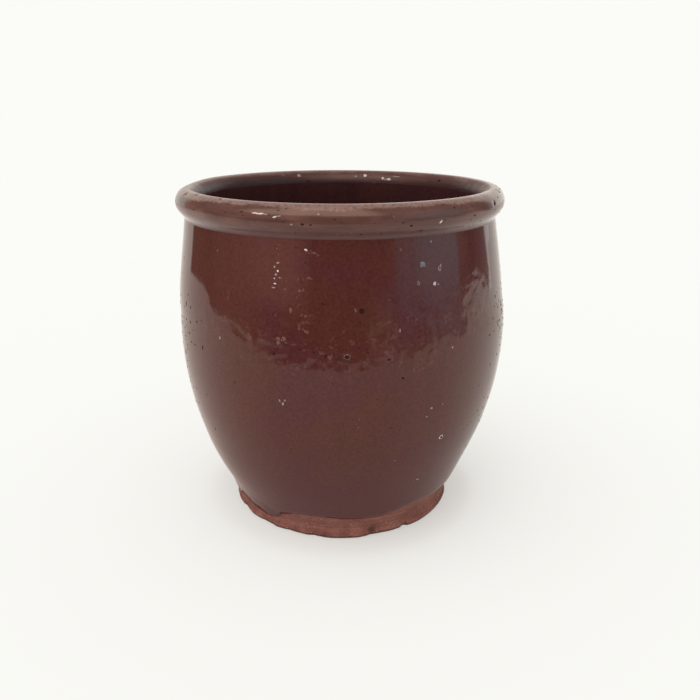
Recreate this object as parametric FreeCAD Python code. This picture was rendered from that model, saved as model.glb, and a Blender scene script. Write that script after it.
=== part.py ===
import FreeCAD, Part
import math
import os

# A wheel-thrown redware crock: one body of red clay, glazed inside, over the rim and outside.
# The base rests on z = 0 and the turning axis is Z. All sizes are in millimetres.

os.makedirs("parts", exist_ok=True)

# Outside of the glazed wall
crock_height = 160.0
belly_radius = 80.0
belly_height = 92.0
neck_radius = 73.7
neck_lean_deg = 8.5
heel_radius = 56.4
heel_height = 7.6
heel_lean_deg = 28.5

# Rolled rim, measured down from its crest
rim_depth = 13.6
rim_radius = 77.4
rim_bulge_drop = 6.0
crest_radius = 72.2
lip_drop = 6.5

# Inside of the glazed wall
wall_thickness = 7.3
floor_thickness = 9.0
floor_cove_reach = 22.6

# Bare clay foot, a little proud of the toe; the toe is the lowest place that glaze reaches
foot_radius = 56.5
foot_edge_rounding = 1.2
toe_radius = 55.9
toe_height = 4.2
toe_lean_deg = -4.0

# Coat of glaze on the clay. It stops at a tilted line, as the pot was dipped aslant:
# the line has this height at the front and rises towards +X.
glaze_thickness = 0.5
glaze_line_height = 10.9
glaze_line_tilt_deg = 5.8

# Chips knocked out of the foot's lower edge: angle from the front, width, height and depth
foot_chips = [
    (-40.0, 12.0, 3.0, 1.0),
    (18.0, 9.0, 3.0, 1.7),
    (33.5, 6.0, 2.8, 2.1),
    (118.0, 9.0, 2.6, 1.4),
    (201.0, 12.0, 3.0, 1.6),
]

# How far each curve's handles reach, as a share of the straight line between its ends
foot_side_reach = (0.35, 0.35)
heel_reach = (0.35, 0.3)
low_wall_reach = (0.33, 0.357)
high_wall_reach = (0.347, 0.298)
inner_cove_reach = (0.265, 0.43)
inner_high_reach = (0.33, 0.22)
rim_underside_reach = (0.5, 0.22)
quarter_round = 0.5523


def direction(lean_deg):
    """Unit step up a wall that leans out from the vertical by this angle, as radius and height."""
    lean = math.radians(lean_deg)
    return (math.sin(lean), math.cos(lean))


def station(radius, height, step, sunk):
    """A point of the profile and the direction of travel there, sunk below the glazed surface.

    The profile runs up the outside, over the rim and down the inside, with the air on its right.
    """
    return {"at": (radius - step[1] * sunk, height + step[0] * sunk), "step": step}


def stations(sunk):
    """The profile's stations, on the glaze's face or sunk to the clay under it."""
    up = (0.0, 1.0)
    down = (0.0, -1.0)
    inward = (-1.0, 0.0)
    mouth_radius = neck_radius - wall_thickness
    return {
        "toe": station(toe_radius, toe_height, direction(toe_lean_deg), sunk),
        "heel": station(heel_radius, heel_height, direction(heel_lean_deg), sunk),
        "belly": station(belly_radius, belly_height, up, sunk),
        "crease": station(neck_radius, crock_height - rim_depth, direction(-neck_lean_deg), sunk),
        "bulge": station(rim_radius, crock_height - rim_bulge_drop, up, sunk),
        "crest": station(crest_radius, crock_height, inward, sunk),
        "lip": station(mouth_radius, crock_height - lip_drop, down, sunk),
        "inner_belly": station(belly_radius - wall_thickness, belly_height, down, sunk),
        "floor_edge": station(heel_radius - floor_cove_reach, floor_thickness, inward, sunk),
    }


def point(radius, height):
    """A point of the half section."""
    return FreeCAD.Vector(radius, 0.0, height)


def line(start, end):
    """A straight edge between two points of the half section."""
    return Part.makeLine(point(*start), point(*end))


def curve(start, end, reach):
    """A smooth edge that leaves and meets two stations along their directions."""
    chord = math.dist(start["at"], end["at"])
    first = [start["at"][i] + start["step"][i] * chord * reach[0] for i in (0, 1)]
    last = [end["at"][i] - end["step"][i] * chord * reach[1] for i in (0, 1)]
    bezier = Part.BezierCurve()
    bezier.setPoles([point(*start["at"]), point(*first), point(*last), point(*end["at"])])
    return bezier.toShape()


def quarter(start, end):
    """A quarter of an ellipse between two stations whose directions are square to each other."""
    first = list(start["at"])
    last = list(end["at"])
    for i in (0, 1):
        span = end["at"][i] - start["at"][i]
        first[i] += abs(start["step"][i]) * span * quarter_round
        last[i] -= abs(end["step"][i]) * span * quarter_round
    bezier = Part.BezierCurve()
    bezier.setPoles([point(*start["at"]), point(*first), point(*last), point(*end["at"])])
    return bezier.toShape()


def outside_edges(s):
    """The wall from the toe up to the crease under the rim."""
    return [
        curve(s["toe"], s["heel"], heel_reach),
        curve(s["heel"], s["belly"], low_wall_reach),
        curve(s["belly"], s["crease"], high_wall_reach),
    ]


def rim_edges(s):
    """The rolled rim, from the crease round the crest to the lip inside."""
    return [
        curve(s["crease"], s["bulge"], rim_underside_reach[::-1]),
        quarter(s["bulge"], s["crest"]),
        quarter(s["crest"], s["lip"]),
    ]


def inside_edges(s):
    """The inner wall from the lip down to the flat of the floor, and the floor to the axis."""
    floor_edge = s["floor_edge"]["at"]
    return [
        curve(s["lip"], s["inner_belly"], inner_high_reach[::-1]),
        curve(s["inner_belly"], s["floor_edge"], inner_cove_reach[::-1]),
        line(floor_edge, (0.0, floor_edge[1])),
    ]


def foot_edges(s):
    """The base and the side of the foot, from the axis out and up to the toe."""
    flat_radius = foot_radius - foot_edge_rounding
    turn = math.radians(45.0)
    middle = (
        flat_radius + foot_edge_rounding * math.sin(turn),
        foot_edge_rounding * (1.0 - math.cos(turn)),
    )
    rounding = Part.Arc(point(flat_radius, 0.0), point(*middle), point(foot_radius, foot_edge_rounding))
    foot_side = station(foot_radius, foot_edge_rounding, (0.0, 1.0), 0.0)
    return [
        line((0.0, 0.0), (flat_radius, 0.0)),
        rounding.toShape(),
        curve(foot_side, s["toe"], foot_side_reach),
    ]


def turned(edges):
    """The solid that a closed half section makes when it turns once about the axis."""
    face = Part.Face(Part.Wire(Part.__sortEdges__(edges)))
    return face.revolve(FreeCAD.Vector(0, 0, 0), FreeCAD.Vector(0, 0, 1), 360.0)


def chip(angle_deg, width, height, depth):
    """A shallow scallop that bites this far into the foot's lower edge, at an angle from the front."""
    unit_ball = Part.makeSphere(1.0)
    stretch = FreeCAD.Matrix()
    stretch.scale(width / 2.0, depth, height)
    scallop = unit_ball.transformGeometry(stretch)
    scallop.translate(FreeCAD.Vector(0.0, -foot_radius, 0.0))
    scallop.rotate(FreeCAD.Vector(0, 0, 0), FreeCAD.Vector(0, 0, 1), angle_deg)
    return scallop


def clay_body(clay):
    """The thrown pot: foot, floor, wall and rolled rim, all from one lump of red clay."""
    edges = foot_edges(clay) + outside_edges(clay) + rim_edges(clay) + inside_edges(clay)
    floor_height = clay["floor_edge"]["at"][1]
    edges.append(line((0.0, floor_height), (0.0, 0.0)))
    body = turned(edges)
    for size in foot_chips:
        body = body.cut(chip(*size))
    return body.Solids[0]


def bare_side():
    """The space below the tilted glaze line, where the wall and foot are left unglazed."""
    size = 2.0 * crock_height
    space = Part.makeBox(size, size, size, FreeCAD.Vector(-size / 2.0, -size / 2.0, -size))
    space.rotate(FreeCAD.Vector(0, 0, 0), FreeCAD.Vector(0, 1, 0), -glaze_line_tilt_deg)
    space.translate(FreeCAD.Vector(0.0, 0.0, glaze_line_height))
    return space


def outer_glaze(face, clay):
    """The coat on the outside of the wall, which stops at the tilted line above the foot."""
    edges = outside_edges(face) + outside_edges(clay)
    edges.append(line(face["toe"]["at"], clay["toe"]["at"]))
    edges.append(line(face["crease"]["at"], clay["crease"]["at"]))
    return turned(edges).cut(bare_side()).Solids[0]


def rim_glaze(face, clay):
    """The coat rolled over the rim, from the crease to the lip inside."""
    edges = rim_edges(face) + rim_edges(clay)
    edges.append(line(face["crease"]["at"], clay["crease"]["at"]))
    edges.append(line(face["lip"]["at"], clay["lip"]["at"]))
    return turned(edges)


def inner_glaze(face, clay):
    """The coat poured inside, over the inner wall and the floor."""
    edges = inside_edges(face) + inside_edges(clay)
    edges.append(line(face["lip"]["at"], clay["lip"]["at"]))
    edges.append(line((0.0, face["floor_edge"]["at"][1]), (0.0, clay["floor_edge"]["at"][1])))
    return turned(edges)


glaze_face = stations(0.0)
clay_face = stations(glaze_thickness)

pieces = {
    "clay_body": clay_body(clay_face),
    "outer_glaze": outer_glaze(glaze_face, clay_face),
    "rim_glaze": rim_glaze(glaze_face, clay_face),
    "inner_glaze": inner_glaze(glaze_face, clay_face),
}

for name, piece in pieces.items():
    piece.exportStep(os.path.join("parts", name + ".step"))
    box = piece.optimalBoundingBox()
    print(name, piece.ShapeType, "valid" if piece.isValid() else "NOT VALID")
    print("  volume", round(piece.Volume), "mm3")
    print("  box", round(box.XLength, 2), "by", round(box.YLength, 2), "by", round(box.ZLength, 2), "mm")
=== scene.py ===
# %% [markdown]
# # A redware crock
#
# This lesson dresses a finished model of an old kitchen crock: a pot thrown on the wheel from red
# earthenware clay, dipped in a brown lead glaze and fired once. The model's four pieces are
# the clay body and its three coats of glaze: outside, over the rolled rim, and inside.
# Each is turned again here, from the same half section, with the small faults that a mirror-like
# glaze gives away: the lean of the pot, the ripples of the throwing, the runs and the burst bubbles.

# %% The frame
import math
import random

import bpy
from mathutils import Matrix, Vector


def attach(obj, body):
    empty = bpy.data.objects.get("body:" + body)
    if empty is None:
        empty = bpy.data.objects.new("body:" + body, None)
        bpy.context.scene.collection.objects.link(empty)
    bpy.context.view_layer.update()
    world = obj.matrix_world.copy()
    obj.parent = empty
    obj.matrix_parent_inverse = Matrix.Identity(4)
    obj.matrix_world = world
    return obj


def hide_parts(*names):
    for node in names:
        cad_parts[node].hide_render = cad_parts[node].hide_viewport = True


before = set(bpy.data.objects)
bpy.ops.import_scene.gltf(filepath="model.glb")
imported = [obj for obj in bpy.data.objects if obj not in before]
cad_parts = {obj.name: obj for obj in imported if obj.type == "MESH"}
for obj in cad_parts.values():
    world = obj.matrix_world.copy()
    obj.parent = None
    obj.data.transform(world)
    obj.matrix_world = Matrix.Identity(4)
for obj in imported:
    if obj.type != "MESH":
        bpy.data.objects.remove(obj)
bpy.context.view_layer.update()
mm = 0.001
print("pieces in the frame:", ", ".join(sorted(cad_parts)))

# %% [markdown]
# ## Small helpers
#
# Colours are written as the hex values that a colour picker shows, which are sRGB. Blender's
# shaders count light, so one function turns each value to linear. The helper called `add` puts one
# node into a tree, with its settings and whatever is linked into it. An input may be given as a
# plain value, as a node, whose first output is taken, or as a node with the name of its output.
# The short helpers after it are for what every tree is full of: sums, smooth steps and ramps.

# %% Colour and node helpers
def linear(hex_colour):
    """An sRGB colour written as #rrggbb, as linear red, green, blue and an alpha of one."""
    parts = [int(hex_colour[i : i + 2], 16) / 255.0 for i in (1, 3, 5)]
    return [p / 12.92 if p <= 0.04045 else ((p + 0.055) / 1.055) ** 2.4 for p in parts] + [1.0]


def add(tree, kind, inputs=None, **settings):
    """Adds one node with its settings, and sets or links its inputs, found by name or number."""
    node = tree.nodes.new(kind)
    for name, value in settings.items():
        setattr(node, name, value)
    for key, value in (inputs or {}).items():
        usable = [s for s in node.inputs if s.enabled]
        socket = usable[key] if isinstance(key, int) else next(s for s in usable if s.name == key)
        named = isinstance(value, tuple) and hasattr(value[0], "outputs")
        source, wanted = value if named else (value, None)
        if hasattr(source, "outputs"):
            exits = [s for s in source.outputs if s.enabled and wanted in (None, s.name)]
            tree.links.new(exits[0], socket)
        else:
            socket.default_value = source
    return node


def calc(tree, operation, *values, clamp=False):
    """A Math node on these values."""
    return add(tree, "ShaderNodeMath", dict(enumerate(values)), operation=operation, use_clamp=clamp)


def vector_calc(tree, operation, *values, scale=None):
    """A Vector Math node on these values. Scaling takes its factor by name."""
    inputs = dict(enumerate(values))
    if scale is not None:
        inputs["Scale"] = scale
    return add(tree, "ShaderNodeVectorMath", inputs, operation=operation)


def length(tree, vector):
    """How long a vector is."""
    return (vector_calc(tree, "LENGTH", vector), "Value")


def split(tree, vector):
    """A node that gives the X, Y and Z of a vector."""
    return add(tree, "ShaderNodeSeparateXYZ", {"Vector": vector})


def step_between(tree, value, start, end, low=0.0, high=1.0):
    """Goes smoothly from low to high as a value goes from start to end."""
    ends = {"From Min": start, "From Max": end, "To Min": low, "To Max": high}
    return add(tree, "ShaderNodeMapRange", {"Value": value, **ends}, interpolation_type="SMOOTHSTEP")


def tinted(tree, share, colour, other):
    """A colour, turned into another by a share."""
    return add(tree, "ShaderNodeMix", {"Factor": share, "A": colour, "B": other}, data_type="RGBA")


def curved(tree, value, knots, straight=False):
    """A Float Curve through its knots, each a place from 0 to 1 and the value there."""
    node = add(tree, "ShaderNodeFloatCurve", {"Value": value})
    points = node.mapping.curves[0].points
    for index, knot in enumerate(knots):
        if index < 2:
            points[index].location = knot
        else:
            points.new(*knot)
    for point in points:
        point.handle_type = "VECTOR" if straight else "AUTO_CLAMPED"
    node.mapping.update()
    return node


def ramp(tree, value, stops):
    """The colour of a Color Ramp with these stops, each a place from 0 to 1 and a hex colour."""
    node = add(tree, "ShaderNodeValToRGB", {"Fac": value})
    elements = node.color_ramp.elements
    while len(elements) > 1:
        elements.remove(elements[0])
    for index, (place, colour) in enumerate(stops):
        stop = elements[0] if index == 0 else elements.new(place)
        stop.position = place
        stop.color = linear(colour)
    return (node, "Color")


def new_material(name):
    """A material with an empty node tree, the tree, and the Object coordinates in it."""
    material = bpy.data.materials.new(name)
    material.use_nodes = True
    material.node_tree.nodes.clear()
    place = (add(material.node_tree, "ShaderNodeTexCoord"), "Object")
    return material, material.node_tree, place


print("pure mid grey in linear light:", [round(v, 3) for v in linear("#808080")[:3]])

# %% [markdown]
# ## The camera
#
# A crock is photographed from slightly above, so that the mouth shows as a thin ellipse. The
# camera stands a third of a metre in front of the pot and looks down on it. It is that close
# that the mouth's ellipse and the foot's curve differ strongly, so its distance matters more
# than its lens. The pot stands a little to the left of the middle, which the lens shift gives.

# %% The camera
camera_distance = 341.8 * mm
camera_height = 195.9 * mm
camera_tilt = math.radians(19.38)
sensor_width = 36.0
focal_length = 36.0
frame_width = 700
pot_left_of_centre = 9.5

camera_data = bpy.data.cameras.new("camera")
camera_data.sensor_width = sensor_width
camera_data.lens = focal_length
camera_data.shift_x = pot_left_of_centre / frame_width
camera_data.clip_start = 10.0 * mm
camera_data.clip_end = 100.0
camera = bpy.data.objects.new("camera", camera_data)
camera.location = (0.0, -camera_distance, camera_height)
camera.rotation_euler = (math.radians(90.0) - camera_tilt, 0.0, 0.0)
bpy.context.scene.collection.objects.link(camera)
bpy.context.scene.camera = camera
print("camera stands", round(camera_distance / mm), "mm in front and", round(camera_height / mm), "mm up")

# %% [markdown]
# ## The table
#
# A glazed pot is a mirror, so half of its look is its surroundings. The pot stands on a pale
# sheet laid over a table in a room. The sheet ends about 0.4 m in front of the pot, and beyond it
# the room is dark: the lower wall mirrors the sheet and looks milky, the upper wall mirrors the room
# and shows the glaze's own colour, and the sheet's edge is the strongest line on the pot. So the
# floor is pale for the camera everywhere, and only for mirrors it ends at that edge. The edge is
# one curve: its distance from the pot in each direction. Near the pot the floor is matt and takes
# its shadow, and further out it fades into the plain white backdrop, so that no horizon shows.

# %% The floor
sheet_colour = "#fbfaf6"
backdrop_colour = "#fbfbf7"
floor_half_size = 20.0
edge_softness = 5.0 * mm
sheet_span = 2400.0
fade_reach = 620.0 * mm
# How much of the backdrop's white the camera sees in the sheet, at shares of the reach above.
backdrop_share = [
    (0.0, 0.34), (0.095, 0.38), (0.12, 0.56), (0.16, 0.66), (0.32, 0.84), (0.65, 0.97), (1.0, 1.0),
]
# Distance of the sheet's edge from the pot in mm. Azimuth is 0 in front and grows towards +X.
sheet_edge = [
    (-180.0, 2400.0), (-131.0, 2400.0), (-126.0, 1010.0), (-105.0, 1290.0), (-94.0, 960.0), (-88.0, 705.0),
    (-79.0, 695.0), (-68.0, 535.0), (-55.0, 478.0), (-45.0, 412.0), (-34.0, 396.0), (-24.0, 395.0),
    (-5.0, 386.0), (9.0, 392.0), (25.0, 440.0), (37.0, 472.0), (48.0, 545.0), (57.0, 725.0), (67.0, 815.0),
    (82.0, 680.0), (88.0, 930.0), (91.0, 1900.0), (107.0, 2000.0), (111.0, 1380.0), (119.0, 830.0),
    (124.0, 830.0), (127.0, 2400.0), (180.0, 2400.0),
]
# What mirrors see of the sheet: it is shaded in front, on the camera's side.
mirrored_sheet = [
    (-180.0, "#fffdf6"), (-100.0, "#fbeee6"), (-62.0, "#ead8ce"), (-30.0, "#d2c3bc"), (20.0, "#d2c4bd"),
    (60.0, "#eae0da"), (95.0, "#fffbf4"), (180.0, "#fffdf6"),
]


def round_the_pot(tree, xyz):
    """The azimuth as a share of one turn: 0 and 1 behind the pot, 0.5 in front of it."""
    azimuth = calc(tree, "ARCTAN2", (xyz, "X"), calc(tree, "MULTIPLY", (xyz, "Y"), -1.0))
    return add(tree, "ShaderNodeMapRange", {"Value": azimuth, "From Min": -math.pi, "From Max": math.pi})


def round_stops(stops):
    """Stops or knots at azimuths in degrees, with the azimuth as a share of one turn."""
    return [((azimuth_deg + 180.0) / 360.0, value) for azimuth_deg, value in stops]


def floor_material():
    """A matt white sheet that fades into the backdrop, and that mirrors see end at its edge."""
    material, tree, place = new_material("white_sheet")
    turn = round_the_pot(tree, split(tree, place))
    reach = length(tree, place)
    edge = curved(tree, turn, round_stops((a, r / sheet_span) for a, r in sheet_edge), straight=True)
    beyond = calc(tree, "SUBTRACT", reach, calc(tree, "MULTIPLY", edge, sheet_span * mm))
    past_edge = step_between(tree, beyond, -edge_softness, edge_softness)
    fade = curved(tree, calc(tree, "DIVIDE", reach, fade_reach), backdrop_share)
    matt = add(tree, "ShaderNodeBsdfDiffuse", {"Color": linear(sheet_colour)})
    white = add(tree, "ShaderNodeEmission", {"Color": linear(backdrop_colour)})
    shown = add(tree, "ShaderNodeMixShader", {0: fade, 1: matt, 2: white})
    shaded = add(tree, "ShaderNodeBsdfDiffuse", {"Color": ramp(tree, turn, round_stops(mirrored_sheet))})
    gone = add(tree, "ShaderNodeBsdfTransparent")
    in_mirrors = add(tree, "ShaderNodeMixShader", {0: past_edge, 1: shaded, 2: gone})
    glossy = (add(tree, "ShaderNodeLightPath"), "Is Glossy Ray")
    both = add(tree, "ShaderNodeMixShader", {0: glossy, 1: shown, 2: in_mirrors})
    add(tree, "ShaderNodeOutputMaterial", {"Surface": both})
    return material


floor_mesh = bpy.data.meshes.new("floor")
sides = [(-1, -1), (1, -1), (1, 1), (-1, 1)]
corners = [(x * floor_half_size, y * floor_half_size, 0.0) for x, y in sides]
floor_mesh.from_pydata(corners, [], [(0, 1, 2, 3)])
floor_mesh.materials.append(floor_material())
floor = bpy.data.objects.new("floor", floor_mesh)
bpy.context.scene.collection.objects.link(floor)
print("in mirrors the sheet ends", min(r for _, r in sheet_edge), "mm from the pot at the nearest")

# %% [markdown]
# ## The room
#
# The world has three looks. For matt surfaces it is one plain level of light. For the camera it is
# the white backdrop. For mirrors it is the room: a white backdrop behind the pot that comes round
# on both sides, a dim wall with warm light on the left, a dark middle, a window of cool panes
# on the right, and a door next to it. Below the level of the sheet the same things are darker.

# %% The surroundings
ambient_colour = "#f6f4f1"
ambient_strength = 0.84
mirrored_strength = 1.4
left_backdrop, right_backdrop = "#dcdbd4", "#fdfbf5"
dim_corner, dark_room, dim_wall = "#5f4a46", "#3b302d", "#93756c"
low_pane, main_pane, high_pane = "#788e9a", "#a0c2c8", "#98bac0"
brown_door, dark_door, door_edge = "#8b7f78", "#584a46", "#857c77"
# Azimuth is 0 in front of the pot and grows towards +X. Two stops that nearly meet are an edge.
upper_room = [
    (-180.0, left_backdrop), (-129.0, left_backdrop), (-127.5, dim_corner), (-104.0, dim_corner),
    (-92.0, dim_wall), (-70.0, "#a88077"), (-52.0, "#cc9e94"), (-36.0, "#cc9c90"), (-29.0, "#b48e84"),
    (-25.0, "#8f746c"), (-20.5, "#77645e"), (-18.5, dark_room), (18.0, dark_room), (31.0, "#504441"),
    (36.0, "#615654"), (40.0, low_pane), (49.0, "#80999f"), (58.0, "#98b8c0"), (67.0, main_pane),
    (88.0, high_pane), (89.4, brown_door), (92.0, brown_door), (103.0, dark_door), (118.0, "#6d605b"),
    (123.5, door_edge), (125.0, right_backdrop), (180.0, right_backdrop),
]
lower_room = [
    (-180.0, left_backdrop), (-129.0, left_backdrop), (-127.5, dim_corner), (-100.0, "#5c4a46"),
    (-90.0, "#75605a"), (-68.0, "#86695f"), (-58.0, "#68524c"), (-49.0, "#463935"), (-41.0, "#241d1b"),
    (9.0, "#2e2523"), (17.0, "#5f4f4b"), (25.0, "#8e7c73"), (31.0, "#b3a194"), (33.0, "#b3a194"),
    (34.5, "#6f6266"), (47.0, "#6c6a78"), (56.0, "#5c5a66"), (65.0, "#8a8f9c"), (88.0, "#8b8f9b"),
    (89.4, "#5c4c48"), (103.0, dark_door), (123.5, door_edge), (125.0, right_backdrop),
    (180.0, right_backdrop),
]
level_from_deg, level_to_deg = -6.0, 4.0
ceiling_colour = "#8b7d76"
ceiling_from_deg, ceiling_full_deg = 16.0, 40.0
lamp_colour, lamp_strength = "#ffdcc4", 2.6
lamp_azimuth_deg, lamp_half_width_deg = -21.0, 50.0
lamp_elevation_deg, lamp_half_height_deg = 50.0, 24.0
lamp_side_softness_deg, lamp_top_softness_deg = 10.0, 4.0


def within(tree, value, middle, half, softness):
    """One inside a band round a middle value and zero outside it, with soft ends, in degrees."""
    off = calc(tree, "ABSOLUTE", calc(tree, "SUBTRACT", value, math.radians(middle)))
    return step_between(tree, off, math.radians(half + softness), math.radians(half - softness))


def surroundings_world():
    """Plain light for matt surfaces, white for the camera, and the room for mirrors."""
    world = bpy.data.worlds.new("studio")
    world.use_nodes = True
    tree = world.node_tree
    tree.nodes.clear()
    xyz = split(tree, (add(tree, "ShaderNodeTexCoord"), "Generated"))
    turn = round_the_pot(tree, xyz)
    height = calc(tree, "ARCSINE", (xyz, "Z"))
    mirrored = ramp(tree, turn, round_stops(lower_room))
    for start, end, above in (
        (level_from_deg, level_to_deg, ramp(tree, turn, round_stops(upper_room))),
        (ceiling_from_deg, ceiling_full_deg, linear(ceiling_colour)),
    ):
        share = step_between(tree, height, math.radians(start), math.radians(end))
        mirrored = tinted(tree, share, mirrored, above)
    mirrored = vector_calc(tree, "SCALE", mirrored, scale=mirrored_strength)
    azimuth = calc(tree, "MULTIPLY", calc(tree, "SUBTRACT", turn, 0.5), 2.0 * math.pi)
    across = within(tree, azimuth, lamp_azimuth_deg, lamp_half_width_deg, lamp_side_softness_deg)
    upright = within(tree, height, lamp_elevation_deg, lamp_half_height_deg, lamp_top_softness_deg)
    glow = [v * lamp_strength for v in linear(lamp_colour)[:3]]
    glow = vector_calc(tree, "SCALE", glow, scale=calc(tree, "MULTIPLY", across, upright))
    mirrored = vector_calc(tree, "ADD", mirrored, glow)
    rays = add(tree, "ShaderNodeLightPath")
    lit = [v * ambient_strength for v in linear(ambient_colour)[:3]] + [1.0]
    seen = tinted(tree, (rays, "Is Glossy Ray"), lit, mirrored)
    shown = tinted(tree, (rays, "Is Camera Ray"), seen, linear(backdrop_colour))
    sky = add(tree, "ShaderNodeBackground", {"Color": shown, "Strength": 1.0})
    add(tree, "ShaderNodeOutputWorld", {"Surface": sky})
    return world


bpy.context.scene.world = surroundings_world()
print("the room has", len(upper_room), "stops round the pot above the sheet,", len(lower_room), "below it")

# %% The key light
sun_strength = 0.9
sun_softness_deg = 70.0
sun_azimuth_deg = -62.0
sun_elevation_deg = 48.0

sun_data = bpy.data.lights.new("key_light", "SUN")
sun_data.energy = sun_strength
sun_data.angle = math.radians(sun_softness_deg)
sun = bpy.data.objects.new("key_light", sun_data)
azimuth, elevation = math.radians(sun_azimuth_deg), math.radians(sun_elevation_deg)
level_part = math.cos(elevation)
towards_sun = Vector(
    (math.sin(azimuth) * level_part, -math.cos(azimuth) * level_part, math.sin(elevation))
)
sun.rotation_mode = "QUATERNION"
sun.rotation_quaternion = towards_sun.to_track_quat("Z", "Y")
sun.visible_glossy = False
bpy.context.scene.collection.objects.link(sun)
bpy.context.scene.view_settings.view_transform = "Standard"
print("one soft key light from", sun_azimuth_deg, "degrees, and", ambient_strength, "of even light")

# %% [markdown]
# ## The half section
#
# A thrown pot is drawn as half of its cut: a line that runs up the outside, over the rim, down the
# inside and across the floor. It has few true points, such as the belly or the crest of the rim.
# At each the line has a place and a direction of travel, and smooth curves join them, as a
# potter's rib would leave them. A Bezier curve object holds exactly that. The clay under a coat
# of glaze has the same stations, sunk square to the surface by the thickness of the coat.

# %% The stations of the half section
crock_height = 160.0
belly_radius = 80.0
belly_height = 92.0
neck_radius = 73.7
neck_lean_deg = 8.5
heel_radius = 56.4
heel_height = 7.6
heel_lean_deg = 28.5
rim_depth = 13.6
rim_radius = 77.4
rim_bulge_drop = 6.0
crest_radius = 72.2
lip_drop = 6.5
wall_thickness = 7.3
floor_thickness = 9.0
floor_cove_reach = 22.6
foot_radius = 56.5
foot_edge_rounding = 1.2
toe_radius = 55.9
toe_height = 4.2
toe_lean_deg = -4.0
glaze_thickness = 0.5

foot_side_reach = (0.35, 0.35)
heel_reach = (0.35, 0.3)
low_wall_reach = (0.33, 0.357)
high_wall_reach = (0.347, 0.298)
rim_underside_reach = (0.22, 0.5)
inner_high_reach = (0.22, 0.33)
inner_cove_reach = (0.43, 0.265)
straight_reach = (1.0 / 3.0, 1.0 / 3.0)
quarter_round = 0.5523


def lean(degrees):
    """Unit step up a wall that leans out from the vertical by this angle."""
    return Vector((math.sin(math.radians(degrees)), math.cos(math.radians(degrees))))


def stations(sunk):
    """Name to place and direction of travel, as radius and height in mm, sunk below the glaze."""
    up, down, inward, outward = Vector((0, 1)), Vector((0, -1)), Vector((-1, 0)), Vector((1, 0))
    glazed = {
        "foot_top": ((foot_radius + glaze_thickness, foot_edge_rounding), up),
        "toe": ((toe_radius, toe_height), lean(toe_lean_deg)),
        "heel": ((heel_radius, heel_height), lean(heel_lean_deg)),
        "belly": ((belly_radius, belly_height), up),
        "crease": ((neck_radius, crock_height - rim_depth), lean(-neck_lean_deg)),
        "bulge": ((rim_radius, crock_height - rim_bulge_drop), up),
        "crest": ((crest_radius, crock_height), inward),
        "lip": ((neck_radius - wall_thickness, crock_height - lip_drop), down),
        "inner_belly": ((belly_radius - wall_thickness, belly_height), down),
        "floor_edge": ((heel_radius - floor_cove_reach, floor_thickness), inward),
        "floor_middle": ((0.0, floor_thickness), inward),
    }
    found = {}
    for name, (at, step) in glazed.items():
        into_clay = Vector((-step.y, step.x))
        if name == "floor_middle":
            into_clay = Vector((0.0, -1.0))
        found[name] = (Vector(at) + into_clay * sunk, step)
    found["base_middle"] = (Vector((0.0, 0.0)), outward)
    found["base_edge"] = (Vector((foot_radius - foot_edge_rounding, 0.0)), outward)
    return found


on_glaze = stations(0.0)
on_clay = stations(glaze_thickness)
print(len(on_glaze), "stations; the belly is", belly_radius, "mm from the axis at", belly_height, "mm")

# %% The section curves
outside_path = [
    ("foot_top", None),
    ("toe", foot_side_reach),
    ("heel", heel_reach),
    ("belly", low_wall_reach),
    ("crease", high_wall_reach),
]
rim_path = [("crease", None), ("bulge", rim_underside_reach), ("crest", "quarter"), ("lip", "quarter")]
inside_path = [
    ("lip", None),
    ("inner_belly", inner_high_reach),
    ("floor_edge", inner_cove_reach),
    ("floor_middle", straight_reach),
]
clay_path = [
    ("base_middle", None),
    ("base_edge", straight_reach),
    ("foot_top", "quarter"),
] + outside_path[1:] + rim_path[1:] + inside_path[1:]


def handles(start, end, reach):
    """The two handles of the curve between stations, as far out as their reach says."""
    (a, a_step), (b, b_step) = start, end
    span = b - a
    if reach == "quarter":
        first, last = abs(a_step.dot(span)) * quarter_round, abs(b_step.dot(span)) * quarter_round
    else:
        first, last = span.length * reach[0], span.length * reach[1]
    return a + a_step * first, b - b_step * last


def section_curve(name, path, places, steps_per_span):
    """A Bezier curve object in the XZ plane, radius along X and height along Z, in metres."""
    data = bpy.data.curves.new(name, "CURVE")
    data.dimensions = "3D"
    data.resolution_u = steps_per_span
    spline = data.splines.new("BEZIER")
    spline.bezier_points.add(len(path) - 1)
    for point, (station, _) in zip(spline.bezier_points, path):
        at = places[station][0]
        point.handle_left_type = point.handle_right_type = "FREE"
        point.co = point.handle_left = point.handle_right = Vector((at.x, 0.0, at.y)) * mm
    for index in range(1, len(path)):
        start, end = places[path[index - 1][0]], places[path[index][0]]
        first, last = handles(start, end, path[index][1])
        spline.bezier_points[index - 1].handle_right = Vector((first.x, 0.0, first.y)) * mm
        spline.bezier_points[index].handle_left = Vector((last.x, 0.0, last.y)) * mm
    curve = bpy.data.objects.new(name, data)
    bpy.context.scene.collection.objects.link(curve)
    return curve


def walk(path, places, steps=400):
    """Points along a section in mm, each with how far along it lies."""
    points = []
    for index in range(1, len(path)):
        start, end = places[path[index - 1][0]], places[path[index][0]]
        first, last = handles(start, end, path[index][1])
        for step in range(0 if index == 1 else 1, steps + 1):
            t = step / steps
            s = 1.0 - t
            points.append(
                s**3 * start[0] + 3 * s * s * t * first + 3 * s * t * t * last + t**3 * end[0]
            )
    travelled = [0.0]
    for before, after in zip(points, points[1:]):
        travelled.append(travelled[-1] + (after - before).length)
    return points, travelled


outside_points, outside_run = walk(outside_path, on_glaze)
print("the outside runs", round(outside_run[-1], 1), "mm from the foot's edge to the crease")

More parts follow.
